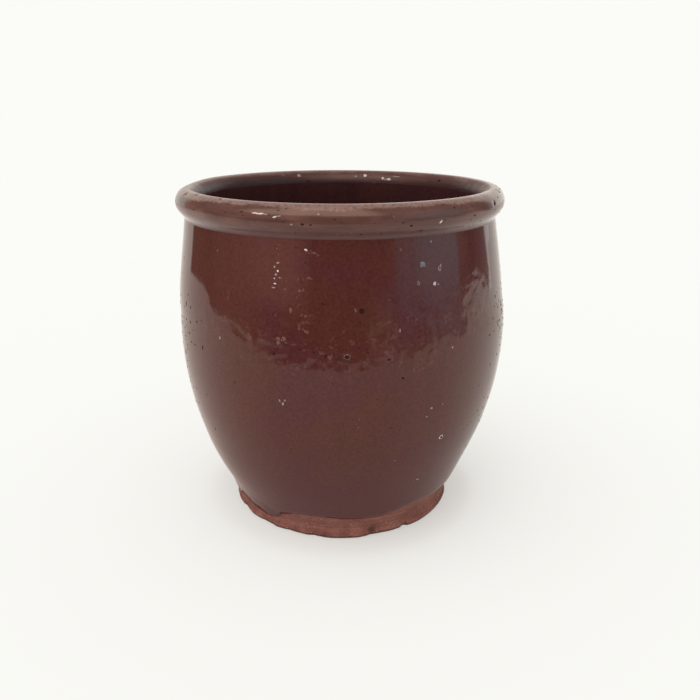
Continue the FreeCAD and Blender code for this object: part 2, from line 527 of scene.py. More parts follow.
# %% [markdown]
# ## The unevenness that all pieces share
#
# A hand-thrown pot is never quite round: its axis leans, its wall swells and dips by a tenth of a
# millimetre, and the fingers leave faint rings. This one was also worn down at the left shoulder
# of its rim. The clay and the coats on it must bend together, so all of this is one node group
# that every turned piece uses. It works on the place before any bending, so two pieces that
# meet get the same bend there.

# %% The shared unevenness
def place_at(angle_deg, height, radius):
    """A point at an angle from the front, growing towards +X, in metres."""
    turn = math.radians(angle_deg)
    return (radius * math.sin(turn) * mm, -radius * math.cos(turn) * mm, height * mm)


# How far the axis of the pot stands towards +X at each height, in mm.
pot_lean = [
    (0.0, 0.2), (8.0, 0.5), (14.0, 0.5), (22.0, 0.2), (30.0, 0.0), (37.0, 0.1), (47.0, 0.45),
    (58.0, 0.6), (68.0, 0.76), (78.0, 0.8), (88.0, 0.9), (98.0, 0.9), (107.0, 0.5), (116.0, 0.1),
    (126.0, 0.0), (135.0, -0.1), (145.0, -0.35), (160.0, -0.55),
]
lean_span = 2.4
swell_size = 62.0 * mm
swell_height = 0.14 * mm
lump_size = 21.0 * mm
lump_height = 0.03 * mm
ring_spacing = 7.5 * mm
ring_height = 0.016 * mm
ring_squeeze = (0.12, 0.12, 1.0)
still_base_height = 14.0 * mm
# The shoulder of the rim that was worn down on the left: its middle, reach, flatness and depth.
worn_angle_deg, worn_height, worn_radius = -90.0, 159.0, 76.0
worn_reach = 36.0 * mm
worn_flatness = 0.36
worn_depth = 0.85 * mm


def new_tree(name, wanted, results=(("Geometry", "Geometry"),)):
    """An empty Geometry Nodes tree with its results and named inputs, and the node that gives those.

    Each input is a name, a kind of socket and a default value.
    """
    tree = bpy.data.node_groups.new(name, "GeometryNodeTree")
    for result, kind in results:
        tree.interface.new_socket(result, in_out="OUTPUT", socket_type="NodeSocket" + kind)
    for wish, kind, default in wanted:
        socket = tree.interface.new_socket(wish, in_out="INPUT", socket_type="NodeSocket" + kind)
        if default is not None:
            socket.default_value = default
    return tree, add(tree, "NodeGroupInput")


def waves(tree, given, kinds):
    """The sum of smooth noises. Each kind: its place, the input with its size, its height and detail."""
    total = None
    for place, size, height, detail in kinds:
        scale = calc(tree, "DIVIDE", 1.0, (given, size))
        noise = add(tree, "ShaderNodeTexNoise", {"Vector": place, "Scale": scale, "Detail": detail})
        both_ways = {"Value": (noise, "Fac"), "To Min": -1.0, "To Max": 1.0}
        wave = add(tree, "ShaderNodeMapRange", both_ways, clamp=False)
        part = calc(tree, "MULTIPLY", wave, height)
        total = calc(tree, "ADD", total, part) if total else part
    return total


def unevenness_group():
    """A node group: from a place on the round pot to how far it bends out, and how it leans."""
    tree, given = new_tree(
        "hand_thrown_unevenness",
        [
            ("Place", "Vector", None),
            ("Swell size", "Float", swell_size),
            ("Swell height", "Float", swell_height),
            ("Lump size", "Float", lump_size),
            ("Lump height", "Float", lump_height),
            ("Ring spacing", "Float", ring_spacing),
            ("Ring height", "Float", ring_height),
            ("Still base", "Float", still_base_height),
            ("Worn place", "Vector", place_at(worn_angle_deg, worn_height, worn_radius)),
            ("Worn reach", "Float", worn_reach),
            ("Worn depth", "Float", worn_depth),
        ],
        results=[("Bend", "Float"), ("Lean", "Vector")],
    )
    place = (given, "Place")
    level = (split(tree, place), "Z")
    long_round = vector_calc(tree, "MULTIPLY", place, ring_squeeze)
    kinds = [
        (place, "Swell size", (given, "Swell height"), 0.0),
        (place, "Lump size", (given, "Lump height"), 0.0),
        (long_round, "Ring spacing", (given, "Ring height"), 0.0),
    ]
    above_base = step_between(tree, level, 0.0, (given, "Still base"))
    total = calc(tree, "MULTIPLY", waves(tree, given, kinds), above_base)
    away = vector_calc(tree, "SUBTRACT", place, (given, "Worn place"))
    away = length(tree, vector_calc(tree, "MULTIPLY", away, (1.0, 1.0, 1.0 / worn_flatness)))
    worn = step_between(tree, away, (given, "Worn reach"), 0.0, 0.0, (given, "Worn depth"))
    total = calc(tree, "SUBTRACT", total, worn)
    share = calc(tree, "DIVIDE", level, crock_height * mm)
    knots = [(height / crock_height, 0.5 + shift / lean_span) for height, shift in pot_lean]
    bow = curved(tree, share, knots)
    ends = {"Value": bow, "To Min": -0.5 * lean_span * mm, "To Max": 0.5 * lean_span * mm}
    shift = add(tree, "ShaderNodeMapRange", ends)
    aside = add(tree, "ShaderNodeCombineXYZ", {"X": shift})
    add(tree, "NodeGroupOutput", {"Bend": total, "Lean": aside})
    return tree


unevenness = unevenness_group()
print("shared unevenness: swells of", round(swell_size / mm), "mm and rings every", ring_spacing / mm, "mm")

# %% [markdown]
# ## Turning a coat of glaze
#
# A coat is a thin closed shell: a face that shows, a back that lies on the clay, and its two edges.
# Spinning the section with a Screw modifier would make the plain form, but the edge of the
# glaze wanders up and down round the foot, and there the section must start higher or lower. So
# one Geometry Nodes tree makes every coat. It lays out a flat grid whose columns go round the pot
# and whose rows go up the face and down the back, and then puts each point on the section curve.
# The same tree adds what only the glaze has: fine ripples, runs, boiled patches, and dents and
# beads at chosen places. Those places come in as a loose cloud of points with a few numbers each.

# %% The coat tree: laying the grid on the section
def unrolled(tree, given, last_row):
    """A flat grid with a column for each step round the pot, and each point's turn, column and row."""
    columns = calc(tree, "ADD", (given, "Steps round"), 1.0)
    rows = calc(tree, "ADD", last_row, 1.0)
    sizes = {"Size X": 1.0, "Size Y": 1.0, "Vertices X": columns, "Vertices Y": rows}
    grid = add(tree, "GeometryNodeMeshGrid", sizes)
    xyz = split(tree, add(tree, "GeometryNodeInputPosition"))
    turn = calc(tree, "MULTIPLY", (xyz, "X"), 2.0 * math.pi)
    column = calc(tree, "MULTIPLY", calc(tree, "ADD", (xyz, "X"), 0.5), (given, "Steps round"))
    row = calc(tree, "MULTIPLY", calc(tree, "ADD", (xyz, "Y"), 0.5), last_row)
    return (grid, "Mesh"), turn, calc(tree, "ROUND", column), calc(tree, "ROUND", row)


def face_and_back(tree, given, row, last_row):
    """The share of the way along the section that a row lies, and one where it is on the back."""
    face_steps = calc(tree, "SUBTRACT", (given, "Rows"), 1.0)
    back_steps = calc(tree, "SUBTRACT", (given, "Back rows"), 1.0)
    rise = calc(tree, "DIVIDE", row, face_steps, clamp=True)
    into_back = calc(tree, "SUBTRACT", row, (given, "Rows"))
    fall = calc(tree, "DIVIDE", into_back, back_steps, clamp=True)
    share = calc(tree, "SUBTRACT", rise, fall)
    past_face = calc(tree, "GREATER_THAN", into_back, -0.5)
    before_end = calc(tree, "LESS_THAN", row, last_row)
    return share, calc(tree, "MULTIPLY", past_face, before_end)


def geometry_of(tree, given, name):
    """The geometry of the helper object given under this name."""
    return (add(tree, "GeometryNodeObjectInfo", {"Object": (given, name)}), "Geometry")


def stored(tree, name):
    """A number kept on the mesh under this name."""
    return add(tree, "GeometryNodeInputNamedAttribute", {"Name": name})


def sampled(tree, cloud, value, index, data_type="FLOAT"):
    """A value at one point of a cloud."""
    inputs = {"Geometry": cloud, "Value": value, "Index": index}
    return add(tree, "GeometryNodeSampleIndex", inputs, data_type=data_type)


def keep(tree, geometry, name, value):
    """Keeps a number on the mesh under a name."""
    inputs = {"Geometry": geometry, "Name": name, "Value": value}
    return add(tree, "GeometryNodeStoreNamedAttribute", inputs)


def on_section(tree, section, share, turn):
    """The place and the outward normal of a point of the section, turned about the pot's axis."""
    sample = add(tree, "GeometryNodeSampleCurve", {"Curves": section, "Factor": share}, mode="FACTOR")
    tangent = split(tree, (sample, "Tangent"))
    inward = calc(tree, "MULTIPLY", (tangent, "X"), -1.0)
    square = add(tree, "ShaderNodeCombineXYZ", {"X": (tangent, "Z"), "Z": inward})
    from_front = calc(tree, "SUBTRACT", turn, 0.5 * math.pi)
    turned = []
    for arrow in ((sample, "Position"), square):
        inputs = {"Vector": arrow, "Angle": from_front}
        turned.append(add(tree, "ShaderNodeVectorRotate", inputs, rotation_type="Z_AXIS"))
    return turned


def uneven(tree, start, place, normal, stand, sunk=None):
    """Moves a point out by its own height and the shared unevenness of its place, and leans it."""
    shared = add(tree, "GeometryNodeGroup", {"Place": place}, node_tree=unevenness)
    stand = calc(tree, "ADD", stand, (shared, "Bend"))
    if sunk:
        stand = calc(tree, "SUBTRACT", stand, sunk)
    out = vector_calc(tree, "SCALE", normal, scale=stand)
    return vector_calc(tree, "ADD", start, vector_calc(tree, "ADD", out, (shared, "Lean")))


print("a coat's grid has one column for each step round the pot, and rows for its face and its back")

# %% The coat tree: what only the glaze has
run_squeeze = (1.0, 1.0, 0.11)


def near_spot(tree, cloud, place):
    """How much of the nearest chosen spot's height is felt at a place."""
    near = add(tree, "GeometryNodeSampleNearest", {"Geometry": cloud, "Sample Position": place})
    spot = add(tree, "GeometryNodeInputPosition")
    centre = sampled(tree, cloud, spot, near, data_type="FLOAT_VECTOR")
    reach, height, stretch = (
        sampled(tree, cloud, stored(tree, name), near) for name in ("reach", "height", "stretch")
    )
    shrink = calc(tree, "DIVIDE", 1.0, stretch)
    taller = add(tree, "ShaderNodeCombineXYZ", {"X": 1.0, "Y": 1.0, "Z": shrink})
    away = vector_calc(tree, "SUBTRACT", place, centre)
    away = length(tree, vector_calc(tree, "MULTIPLY", away, taller))
    return step_between(tree, away, reach, 0.0, 0.0, height)


def ripples(tree, given, place, boil):
    """Fine waves of the glaze: a skin like orange peel, upright runs and patches that boiled."""
    upright = vector_calc(tree, "MULTIPLY", place, run_squeeze)
    kinds = [
        (place, "Peel size", (given, "Peel height"), 1.0),
        (upright, "Run width", (given, "Run height"), 1.0),
        (place, "Boil size", boil, 3.0),
    ]
    return waves(tree, given, kinds)


print("a coat has an orange-peel skin, upright runs, boiled patches, and dents and beads")

# %% The coat tree: putting it together
sharp_from_deg = 50.0
seam_gap = 0.002 * mm
# The boil is full from its middle to this share of the belt's half width.
boil_core = 0.3


def coat_tree():
    """The Geometry Nodes tree that turns a section into a closed coat of glaze."""
    tree, given = new_tree(
        "turned_coat",
        [
            ("Geometry", "Geometry", None),
            ("Section", "Object", None),
            ("Edge", "Object", None),
            ("Dents", "Object", None),
            ("Steps round", "Int", 640),
            ("Rows", "Int", 130),
            ("Back rows", "Int", 12),
            ("Section length", "Float", 0.15),
            ("Thickness", "Float", glaze_thickness * mm),
            ("Edge thickness", "Float", 0.12 * mm),
            ("Edge reach", "Float", 3.0 * mm),
            ("Peel size", "Float", 3.2 * mm),
            ("Peel height", "Float", 0.0025 * mm),
            ("Run width", "Float", 6.0 * mm),
            ("Run height", "Float", 0.008 * mm),
            ("Boil size", "Float", 4.0 * mm),
            ("Material", "Material", None),
        ],
    )
    section, edge, dents = (geometry_of(tree, given, name) for name in ("Section", "Edge", "Dents"))
    last_row = calc(tree, "ADD", (given, "Rows"), (given, "Back rows"))
    grid, turn, column, row = unrolled(tree, given, last_row)
    share, back = face_and_back(tree, given, row, last_row)
    start, fade, boil_middle, boil_half, boil_height = (
        sampled(tree, edge, stored(tree, name), column)
        for name in ("start", "fade", "boil_middle", "boil_half", "boil_height")
    )
    along = add(tree, "ShaderNodeMix", {"Factor": share, "A": start, "B": 1.0})
    place, normal = on_section(tree, section, along, turn)
    from_edge = calc(tree, "MULTIPLY", calc(tree, "SUBTRACT", along, start), (given, "Section length"))
    thin, full = (given, "Edge thickness"), (given, "Thickness")
    coat = step_between(tree, from_edge, 0.0, (given, "Edge reach"), thin, full)
    cover = calc(tree, "DIVIDE", from_edge, fade)
    away = calc(tree, "ABSOLUTE", calc(tree, "SUBTRACT", (split(tree, place), "Z"), boil_middle))
    boil = step_between(tree, calc(tree, "DIVIDE", away, boil_half), 1.0, boil_core, 0.0, boil_height)
    face = calc(tree, "ADD", coat, ripples(tree, given, place, boil))
    face = calc(tree, "ADD", face, near_spot(tree, dents, place))
    stand = add(tree, "ShaderNodeMix", {"Factor": back, "A": face, "B": 0.0})
    final = uneven(tree, place, place, normal, stand, sunk=full)
    kept = keep(tree, keep(tree, grid, "cover", cover), "boiled", boil)
    moved = add(tree, "GeometryNodeSetPosition", {"Geometry": kept, "Position": final})
    finish_tree(tree, given, moved)
    return tree


def finish_tree(tree, given, geometry):
    """Closes the seam and the poles, smooths all but sharp edges, and sets the material."""
    closed = add(tree, "GeometryNodeMergeByDistance", {"Geometry": geometry, "Distance": seam_gap})
    smooth = add(tree, "GeometryNodeSetShadeSmooth", {"Geometry": closed}, domain="FACE")
    bend = add(tree, "GeometryNodeInputMeshEdgeAngle")
    sharp = calc(tree, "GREATER_THAN", (bend, "Unsigned Angle"), math.radians(sharp_from_deg))
    crease = {"Geometry": smooth, "Selection": sharp, "Shade Smooth": False}
    creased = add(tree, "GeometryNodeSetShadeSmooth", crease, domain="EDGE")
    painted_end(tree, given, creased)


def painted_end(tree, given, geometry):
    """Makes what is laid real, gives it the material and ends the tree."""
    real = add(tree, "GeometryNodeRealizeInstances", {"Geometry": geometry})
    painted = add(tree, "GeometryNodeSetMaterial", {"Geometry": real, "Material": (given, "Material")})
    add(tree, "NodeGroupOutput", {"Geometry": painted})


turned_coat = coat_tree()
print("the coat tree has", len(turned_coat.nodes), "nodes")

# %% Running a tree
def loose_points(name, places, **values):
    """A helper object of loose points, with one number attribute for each list of values."""
    mesh = bpy.data.meshes.new(name)
    mesh.from_pydata(places, [], [])
    for key, numbers in values.items():
        mesh.attributes.new(key, "FLOAT", "POINT").data.foreach_set("value", numbers)
    points = bpy.data.objects.new(name, mesh)
    bpy.context.scene.collection.objects.link(points)
    helpers.append(points)
    return points


def made_by(tree, name, **sizes):
    """Runs a tree with these named inputs and keeps the result as a plain mesh at the origin."""
    host = bpy.data.objects.new(name, bpy.data.meshes.new(name))
    bpy.context.scene.collection.objects.link(host)
    modifier = host.modifiers.new("made", "NODES")
    modifier.node_group = tree
    names = {
        item.name: item.identifier
        for item in tree.interface.items_tree
        if item.item_type == "SOCKET" and item.in_out == "INPUT"
    }
    for key, value in sizes.items():
        modifier[names[key.replace("_", " ")]] = value
    bpy.context.view_layer.update()
    graph = bpy.context.evaluated_depsgraph_get()
    made = bpy.data.meshes.new_from_object(host.evaluated_get(graph), depsgraph=graph)
    host.modifiers.clear()
    host.data = made
    made.name = name
    print(name, "has", sum(len(p.vertices) - 2 for p in made.polygons), "triangles")
    return host


helpers = []
print("ready to run the trees")

# %% [markdown]
# ## Where the glaze ends, and its faults
#
# The pot was held by its foot and dipped, so the glaze stops at a wavy line, high on the right and
# low on the left. On the left it runs over the top of the foot, with one thick drop at its end.
# On the right it thins out, and the clay shows through it. Where gas came out of the clay in the
# fire, a belt of the glaze boiled and then healed: the surface there is lumpy, and only its
# reflections give that away. The line and the belt are numbers for each column of the coat's grid.

# %% The glaze line, the boiled patches and the dents
def wall_radius(height):
    """Radius of the glazed outside at a height, in mm."""
    for before, after in zip(outside_points, outside_points[1:]):
        if before.y <= height <= after.y:
            share = (height - before.y) / max(after.y - before.y, 1e-9)
            return before.x + share * (after.x - before.x)
    return outside_points[0].x if height < outside_points[0].y else outside_points[-1].x


def share_at_height(height):
    """How far along the outside section this height comes, from 0 to 1."""
    for index in range(1, len(outside_points)):
        if outside_points[index].y >= height:
            before, after = outside_points[index - 1], outside_points[index]
            part = (height - before.y) / max(after.y - before.y, 1e-9)
            part = min(max(part, 0.0), 1.0)
            run = outside_run[index - 1] + part * (outside_run[index] - outside_run[index - 1])
            return run / outside_run[-1]
    return 1.0


def blended(knots, at):
    """The value at a place between given knots, with a smooth step from each to the next."""
    for (x0, y0), (x1, y1) in zip(knots, knots[1:]):
        if x0 <= at <= x1:
            t = (at - x0) / (x1 - x0)
            return y0 + (y1 - y0) * t * t * (3.0 - 2.0 * t)
    return knots[-1][1]


def column_angles(steps):
    """The angle of each column of a grid from the front, from the back round to the back."""
    return [-180.0 + 360.0 * step / steps for step in range(steps + 1)]


def in_columns(knots, angles):
    """Given knots in mm, blended to a number in metres for each column."""
    return [blended(knots, angle) * mm for angle in angles]


# Height of the lower edge of the glaze in mm, at angles from the front.
glaze_line = [
    (-180.0, 9.6), (-165.0, 8.2), (-148.0, 9.0), (-132.0, 6.6), (-115.0, 6.2), (-103.0, 4.4),
    (-94.0, 3.2), (-71.0, 3.1), (-66.0, 4.0), (-62.0, 4.6), (-55.0, 4.7), (-48.0, 4.4), (-40.0, 4.2),
    (-35.0, 5.2), (-29.0, 9.2), (-26.0, 10.8), (-21.0, 12.2), (-15.5, 12.8), (-10.0, 12.8),
    (-4.0, 12.5), (2.0, 11.8), (8.5, 11.6), (14.0, 11.8), (18.0, 12.1), (24.0, 13.6), (29.7, 15.7),
    (37.0, 16.7), (45.4, 16.0), (53.0, 15.2), (60.0, 14.4), (74.0, 12.6), (92.0, 11.0), (104.0, 11.2),
    (121.0, 12.2), (136.0, 10.4), (152.0, 11.8), (168.0, 9.2), (180.0, 9.6),
]
# How many mm the edge takes from bare clay to the full colour of the glaze.
glaze_fade = [
    (-180.0, 1.8), (-120.0, 0.8), (-90.0, 0.4), (-40.0, 0.3), (-31.0, 0.35), (-25.0, 0.9), (-12.0, 0.8),
    (4.0, 0.8), (12.0, 1.4), (20.0, 2.6), (30.0, 4.6), (40.0, 5.2), (60.0, 2.6), (110.0, 1.2), (180.0, 1.8),
]
# The belt that boiled, round the pot: its middle height, half its width and the height of its waves.
boil_middle = [
    (-180.0, 90.0), (-128.0, 112.0), (-90.0, 112.0), (-45.0, 109.0), (-28.0, 104.0), (0.0, 103.0),
    (16.0, 103.0), (28.0, 106.0), (40.0, 116.0), (52.0, 118.0), (90.0, 110.0), (148.0, 72.0), (180.0, 90.0),
]
boil_half = [
    (-180.0, 20.0), (-128.0, 28.0), (-90.0, 20.0), (-40.0, 13.0), (0.0, 16.0), (30.0, 18.0),
    (50.0, 18.0), (148.0, 34.0), (180.0, 20.0),
]
boil_height = [
    (-180.0, 0.0), (-152.0, 0.0), (-128.0, 0.16), (-104.0, 0.0), (-62.0, 0.0), (-42.0, 0.14),
    (-26.0, 0.32), (0.0, 0.34), (30.0, 0.38), (46.0, 0.3), (64.0, 0.0), (116.0, 0.0), (148.0, 0.16),
    (176.0, 0.0), (180.0, 0.0),
]
outer_steps = 640
outer_angles = column_angles(outer_steps)
glaze_edge = loose_points(
    "glaze_edge",
    [(0.0, 0.0, 0.0)] * len(outer_angles),
    start=[
        share_at_height(blended(glaze_line, angle) - 0.5 * blended(glaze_fade, angle))
        for angle in outer_angles
    ],
    fade=in_columns(glaze_fade, outer_angles),
    boil_middle=in_columns(boil_middle, outer_angles),
    boil_half=in_columns(boil_half, outer_angles),
    boil_height=in_columns(boil_height, outer_angles),
)
plain_count = 1000
plain_edge = loose_points(
    "plain_edge",
    [(0.0, 0.0, 0.0)] * plain_count,
    start=[0.0] * plain_count,
    fade=[0.001 * mm] * plain_count,
    boil_middle=[0.0] * plain_count,
    boil_half=[1.0 * mm] * plain_count,
    boil_height=[0.0] * plain_count,
)


def spots(name, rows, radius_at):
    """Loose points on the pot with the reach, height and upright stretch of each dent or bead."""
    angles, heights, reaches, depths, stretches = zip(*rows)
    return loose_points(
        name,
        [place_at(angle, height, radius_at(height)) for angle, height in zip(angles, heights)],
        reach=[reach * mm for reach in reaches],
        height=[depth * mm for depth in depths],
        stretch=stretches,
    )


# Each row: angle, height, reach, how far out or in, upright stretch.
wall_dents = [
    (-33.4, 6.6, 5.0, 0.22, 0.6),
    (-41.0, 108.0, 5.0, 0.02, 2.6),
    (-36.5, 121.2, 2.6, 0.035, 2.2),
    (40.0, 116.0, 4.0, 0.02, 3.0),
    (5.8, 119.2, 3.2, -0.13, 1.0),
    (46.0, 124.0, 5.0, 0.016, 2.4),
]
draw_seed, drawn_dents, drawn_stretch = 18, 46, 1.6
chance = random.Random(draw_seed)
for _ in range(drawn_dents):
    angle, reach = chance.uniform(50.0, 310.0), chance.uniform(2.5, 6.0)
    height, side = chance.uniform(22.0, 140.0), chance.choice((-1, 1))
    depth = side * chance.uniform(0.008, 0.02)
    wall_dents.append((angle, height, reach, depth, drawn_stretch))
dents = spots("dents", wall_dents, wall_radius)
no_spots = loose_points("no_spots", [(0.0, 0.0, -1.0)], reach=[0.001], height=[0.0], stretch=[1.0])
print("the glaze line rises from", min(h for _, h in glaze_line), "to", max(h for _, h in glaze_line), "mm")

# %% [markdown]
# ## The brown lead glaze
#
# Lead glaze over red clay is a clear brown glass, coloured by its iron. What is under it shows:
# clouds where it lies thicker or cooled slower, upright streaks where it ran, and fine dark pinholes.
# It is a dielectric like window glass, so one Principled shader does it, with a low roughness and
# an index of refraction of 1.5. The clouds, streaks and pinholes are noise in Object coordinates,
# with sizes in millimetres. At its thin edge the clay shines through. The shader takes that from
# the `cover` that the coat tree left on the mesh: how far a point is from the edge, as a share of
# the width in which the glaze fades there.

# %% Shared pattern helpers
# Most values of a noise lie between these two.
most_of_noise = (0.3, 0.7)


def finished(tree, colour, roughness, ior, relief=None, depth=0.0):
    """Ends a finish with its Principled shader, and with a bump this deep where there is relief."""
    inputs = {"Base Color": colour, "Roughness": roughness, "IOR": ior}
    if relief:
        bump = {"Strength": 1.0, "Distance": depth, "Height": relief}
        inputs["Normal"] = add(tree, "ShaderNodeBump", bump)
    add(tree, "ShaderNodeOutputMaterial", {"Surface": add(tree, "ShaderNodeBsdfPrincipled", inputs)})


def product(tree, first, *others):
    """All these numbers multiplied."""
    for other in others:
        first = calc(tree, "MULTIPLY", first, other)
    return first


def painted(tree, colour, layers):
    """A colour with others laid over it in turn, each a share and a hex colour."""
    for share, hex_colour in layers:
        colour = tinted(tree, share, colour, linear(hex_colour))
    return colour


def mottled(tree, colour, noise, darkest, lightest):
    """A colour made darker and lighter by a noise."""
    light = step_between(tree, noise, *most_of_noise, darkest, lightest)
    return vector_calc(tree, "SCALE", colour, scale=light)


def left_on_mesh(tree, name):
    """A number that a Geometry Nodes tree left on the mesh."""
    return (add(tree, "ShaderNodeAttribute", attribute_name=name), "Fac")


def noise_at(tree, place, size, detail=2.0, stretch=None, offset=0.0):
    """Noise whose lumps have this size in metres, pulled out of shape by a stretch."""
    if stretch or offset:
        inputs = {"Vector": place, "Location": (offset,) * 3, "Scale": stretch or (1.0, 1.0, 1.0)}
        place = add(tree, "ShaderNodeMapping", inputs)
    return add(tree, "ShaderNodeTexNoise", {"Vector": place, "Scale": 1.0 / size, "Detail": detail})


def specks(tree, place, spacing, radius, softness, chosen, offset=0.0):
    """One in round specks of this radius, at some of the points of an uneven lattice."""
    if offset:
        place = add(tree, "ShaderNodeMapping", {"Vector": place, "Location": (offset,) * 3})
    cells = add(tree, "ShaderNodeTexVoronoi", {"Vector": place, "Scale": 1.0 / spacing})
    ends = (radius + softness) / spacing, (radius - softness) / spacing
    draw = add(tree, "ShaderNodeSeparateColor", {"Color": (cells, "Color")})
    picked = calc(tree, "LESS_THAN", (draw, "Red"), chosen)
    return product(tree, step_between(tree, (cells, "Distance"), *ends), picked)


print("patterns are sized in metres in Object coordinates")

# %% Brown lead glaze
# Lead glaze with iron, dipped and fired once: a deep brown glass, as smooth as a window.
glaze_brown, glaze_aubergine, glaze_olive = "#532a25", "#51292a", "#522c23"
glaze_low = "#4e2d30"
glaze_over_clay = "#774539"
pinhole_colour = "#2e1713"
glaze_ior = 1.5
# Pale flecks are painted glints: highlights of the light on the lumps of the boiled belt.
painted_glint_colour = "#8d675d"
cloud_size = 36.0 * mm
streak_width = 4.2 * mm
glaze_grain_size = 1.3 * mm
glint_size, glint_group_size = 1.3 * mm, 5.0 * mm
dull_patch_size = 14.0 * mm
skin_size, skin_depth = 1.1 * mm, 0.03 * mm
boiled_lump_size = 0.7 * mm
full_boil_height = 0.2 * mm
low_glaze_heights = (70.0 * mm, 15.0 * mm)
# Specks: their spacing, radius and softness, and the share of the places that have one.
pinhole_specks = (3.6 * mm, 0.36 * mm, 0.14 * mm, 0.22)
small_pinhole_specks = (1.9 * mm, 0.2 * mm, 0.08 * mm, 0.3)


def brown_lead_glaze():
    """Clouded brown glass with streaks, pinholes, painted glints and a thin edge."""
    material, tree, place = new_material("brown_lead_glaze")
    clouds = noise_at(tree, place, cloud_size, detail=3.0)
    colour = ramp(tree, clouds, [(0.36, glaze_aubergine), (0.5, glaze_brown), (0.62, glaze_olive)])
    streak = noise_at(tree, place, streak_width, stretch=(1.0, 1.0, 0.07))
    light = step_between(tree, streak, *most_of_noise, 0.97, 1.03)
    grain = noise_at(tree, place, glaze_grain_size)
    light = product(tree, light, step_between(tree, grain, *most_of_noise, 0.88, 1.12))
    colour = vector_calc(tree, "SCALE", colour, scale=light)
    low = step_between(tree, (split(tree, place), "Z"), *low_glaze_heights, 0.0, 0.6)
    lumpy = step_between(tree, left_on_mesh(tree, "boiled"), 0.0, full_boil_height)
    # Painted glints: pale flecks in groups, only where the glaze boiled, for highlights on its lumps.
    painted_glaze_glints = step_between(tree, noise_at(tree, place, glint_size, detail=3.0, offset=0.31), 0.5, 0.66)
    groups = noise_at(tree, place, glint_group_size, offset=0.77)
    painted_glaze_glints = product(tree, painted_glaze_glints, lumpy, step_between(tree, groups, 0.5, 0.64, 0.0, 0.2))
    holes = specks(tree, place, *pinhole_specks)
    small_holes = specks(tree, place, *small_pinhole_specks, offset=0.17)
    holes = calc(tree, "MAXIMUM", holes, small_holes)
    bare = step_between(tree, left_on_mesh(tree, "cover"), 1.0, 0.0)
    layers = [(low, glaze_low), (painted_glaze_glints, painted_glint_colour), (holes, pinhole_colour), (bare, glaze_over_clay)]
    rough = step_between(tree, noise_at(tree, place, dull_patch_size), 0.35, 0.75, 0.045, 0.085)
    rough = calc(tree, "MULTIPLY_ADD", bare, 0.3, rough)
    skin = noise_at(tree, place, skin_size, detail=1.0)
    lumps = product(tree, noise_at(tree, place, boiled_lump_size, offset=0.5), lumpy)
    skin = calc(tree, "MULTIPLY_ADD", skin, 0.03, lumps)
    finished(tree, painted(tree, colour, layers), rough, glaze_ior, skin, skin_depth)
    return material


brown_glaze = brown_lead_glaze()
print("brown lead glaze:", len(brown_glaze.node_tree.nodes), "nodes")

# %% [markdown]
# ## The worn rim
#
# Hands and tied cloths wear a rim first. Its glaze is thinner and duller than the wall's,
# pinkish where the clay shines through, and on the crest it is rubbed to a matt greyish pink with
# a ragged lower border; that pale crest is also a painted highlight of the light on its top. Its
# inner half is red and dull, and painted darker towards the inside as painted shade, down to a dark
# border where the glaze from the inside flooded it. The wheel left fine streaks that run round it.
# So its patterns are squeezed in height and long round the pot, and the wear follows the height
# above the table.

# %% Worn rim glaze
# The same glass, thin and rubbed: it keeps a satin gloss below and has lost it on the crest.
rim_brown, rim_dark, rim_warm, rim_low = "#5f3e37", "#573932", "#69473f", "#573c3b"
# The pale crest colour is partly rubbed wear, partly a painted highlight of the light on its top.
rim_worn_and_lit, rim_grit = "#8f7167", "#3a2420"
lip_red, lip_dark = "#4d2a28", "#3c2325"
rim_patch_size = 9.0 * mm
rim_streak_height = 0.9 * mm
satin_patch_size = 6.0 * mm
rubbed_size = 1.6 * mm
rim_grit_specks = (3.1 * mm, 0.34 * mm, 0.12 * mm, 0.42)
# The ragged borders: the size of each wave and how far it moves the border.
ragged_size, ragged_rise = 0.9 * mm, 1.6 * mm
broad_size, broad_rise = 13.0 * mm, 3.0 * mm
drip_size, drip_rise = 4.0 * mm, 5.0 * mm
rim_relief_depth = 0.012 * mm
# Heights and radii between which one look of the rim gives way to the next.
low_rim_heights = (154.0 * mm, 148.0 * mm)
gloss_lost_heights = (149.0 * mm, 154.0 * mm)
worn_and_lit_heights = (160.3 * mm, 161.3 * mm)
flooded_heights = (161.9 * mm, 160.5 * mm)
outer_half_radii = (67.5 * mm, 72.0 * mm)
inner_half_radii = (71.5 * mm, 69.0 * mm)


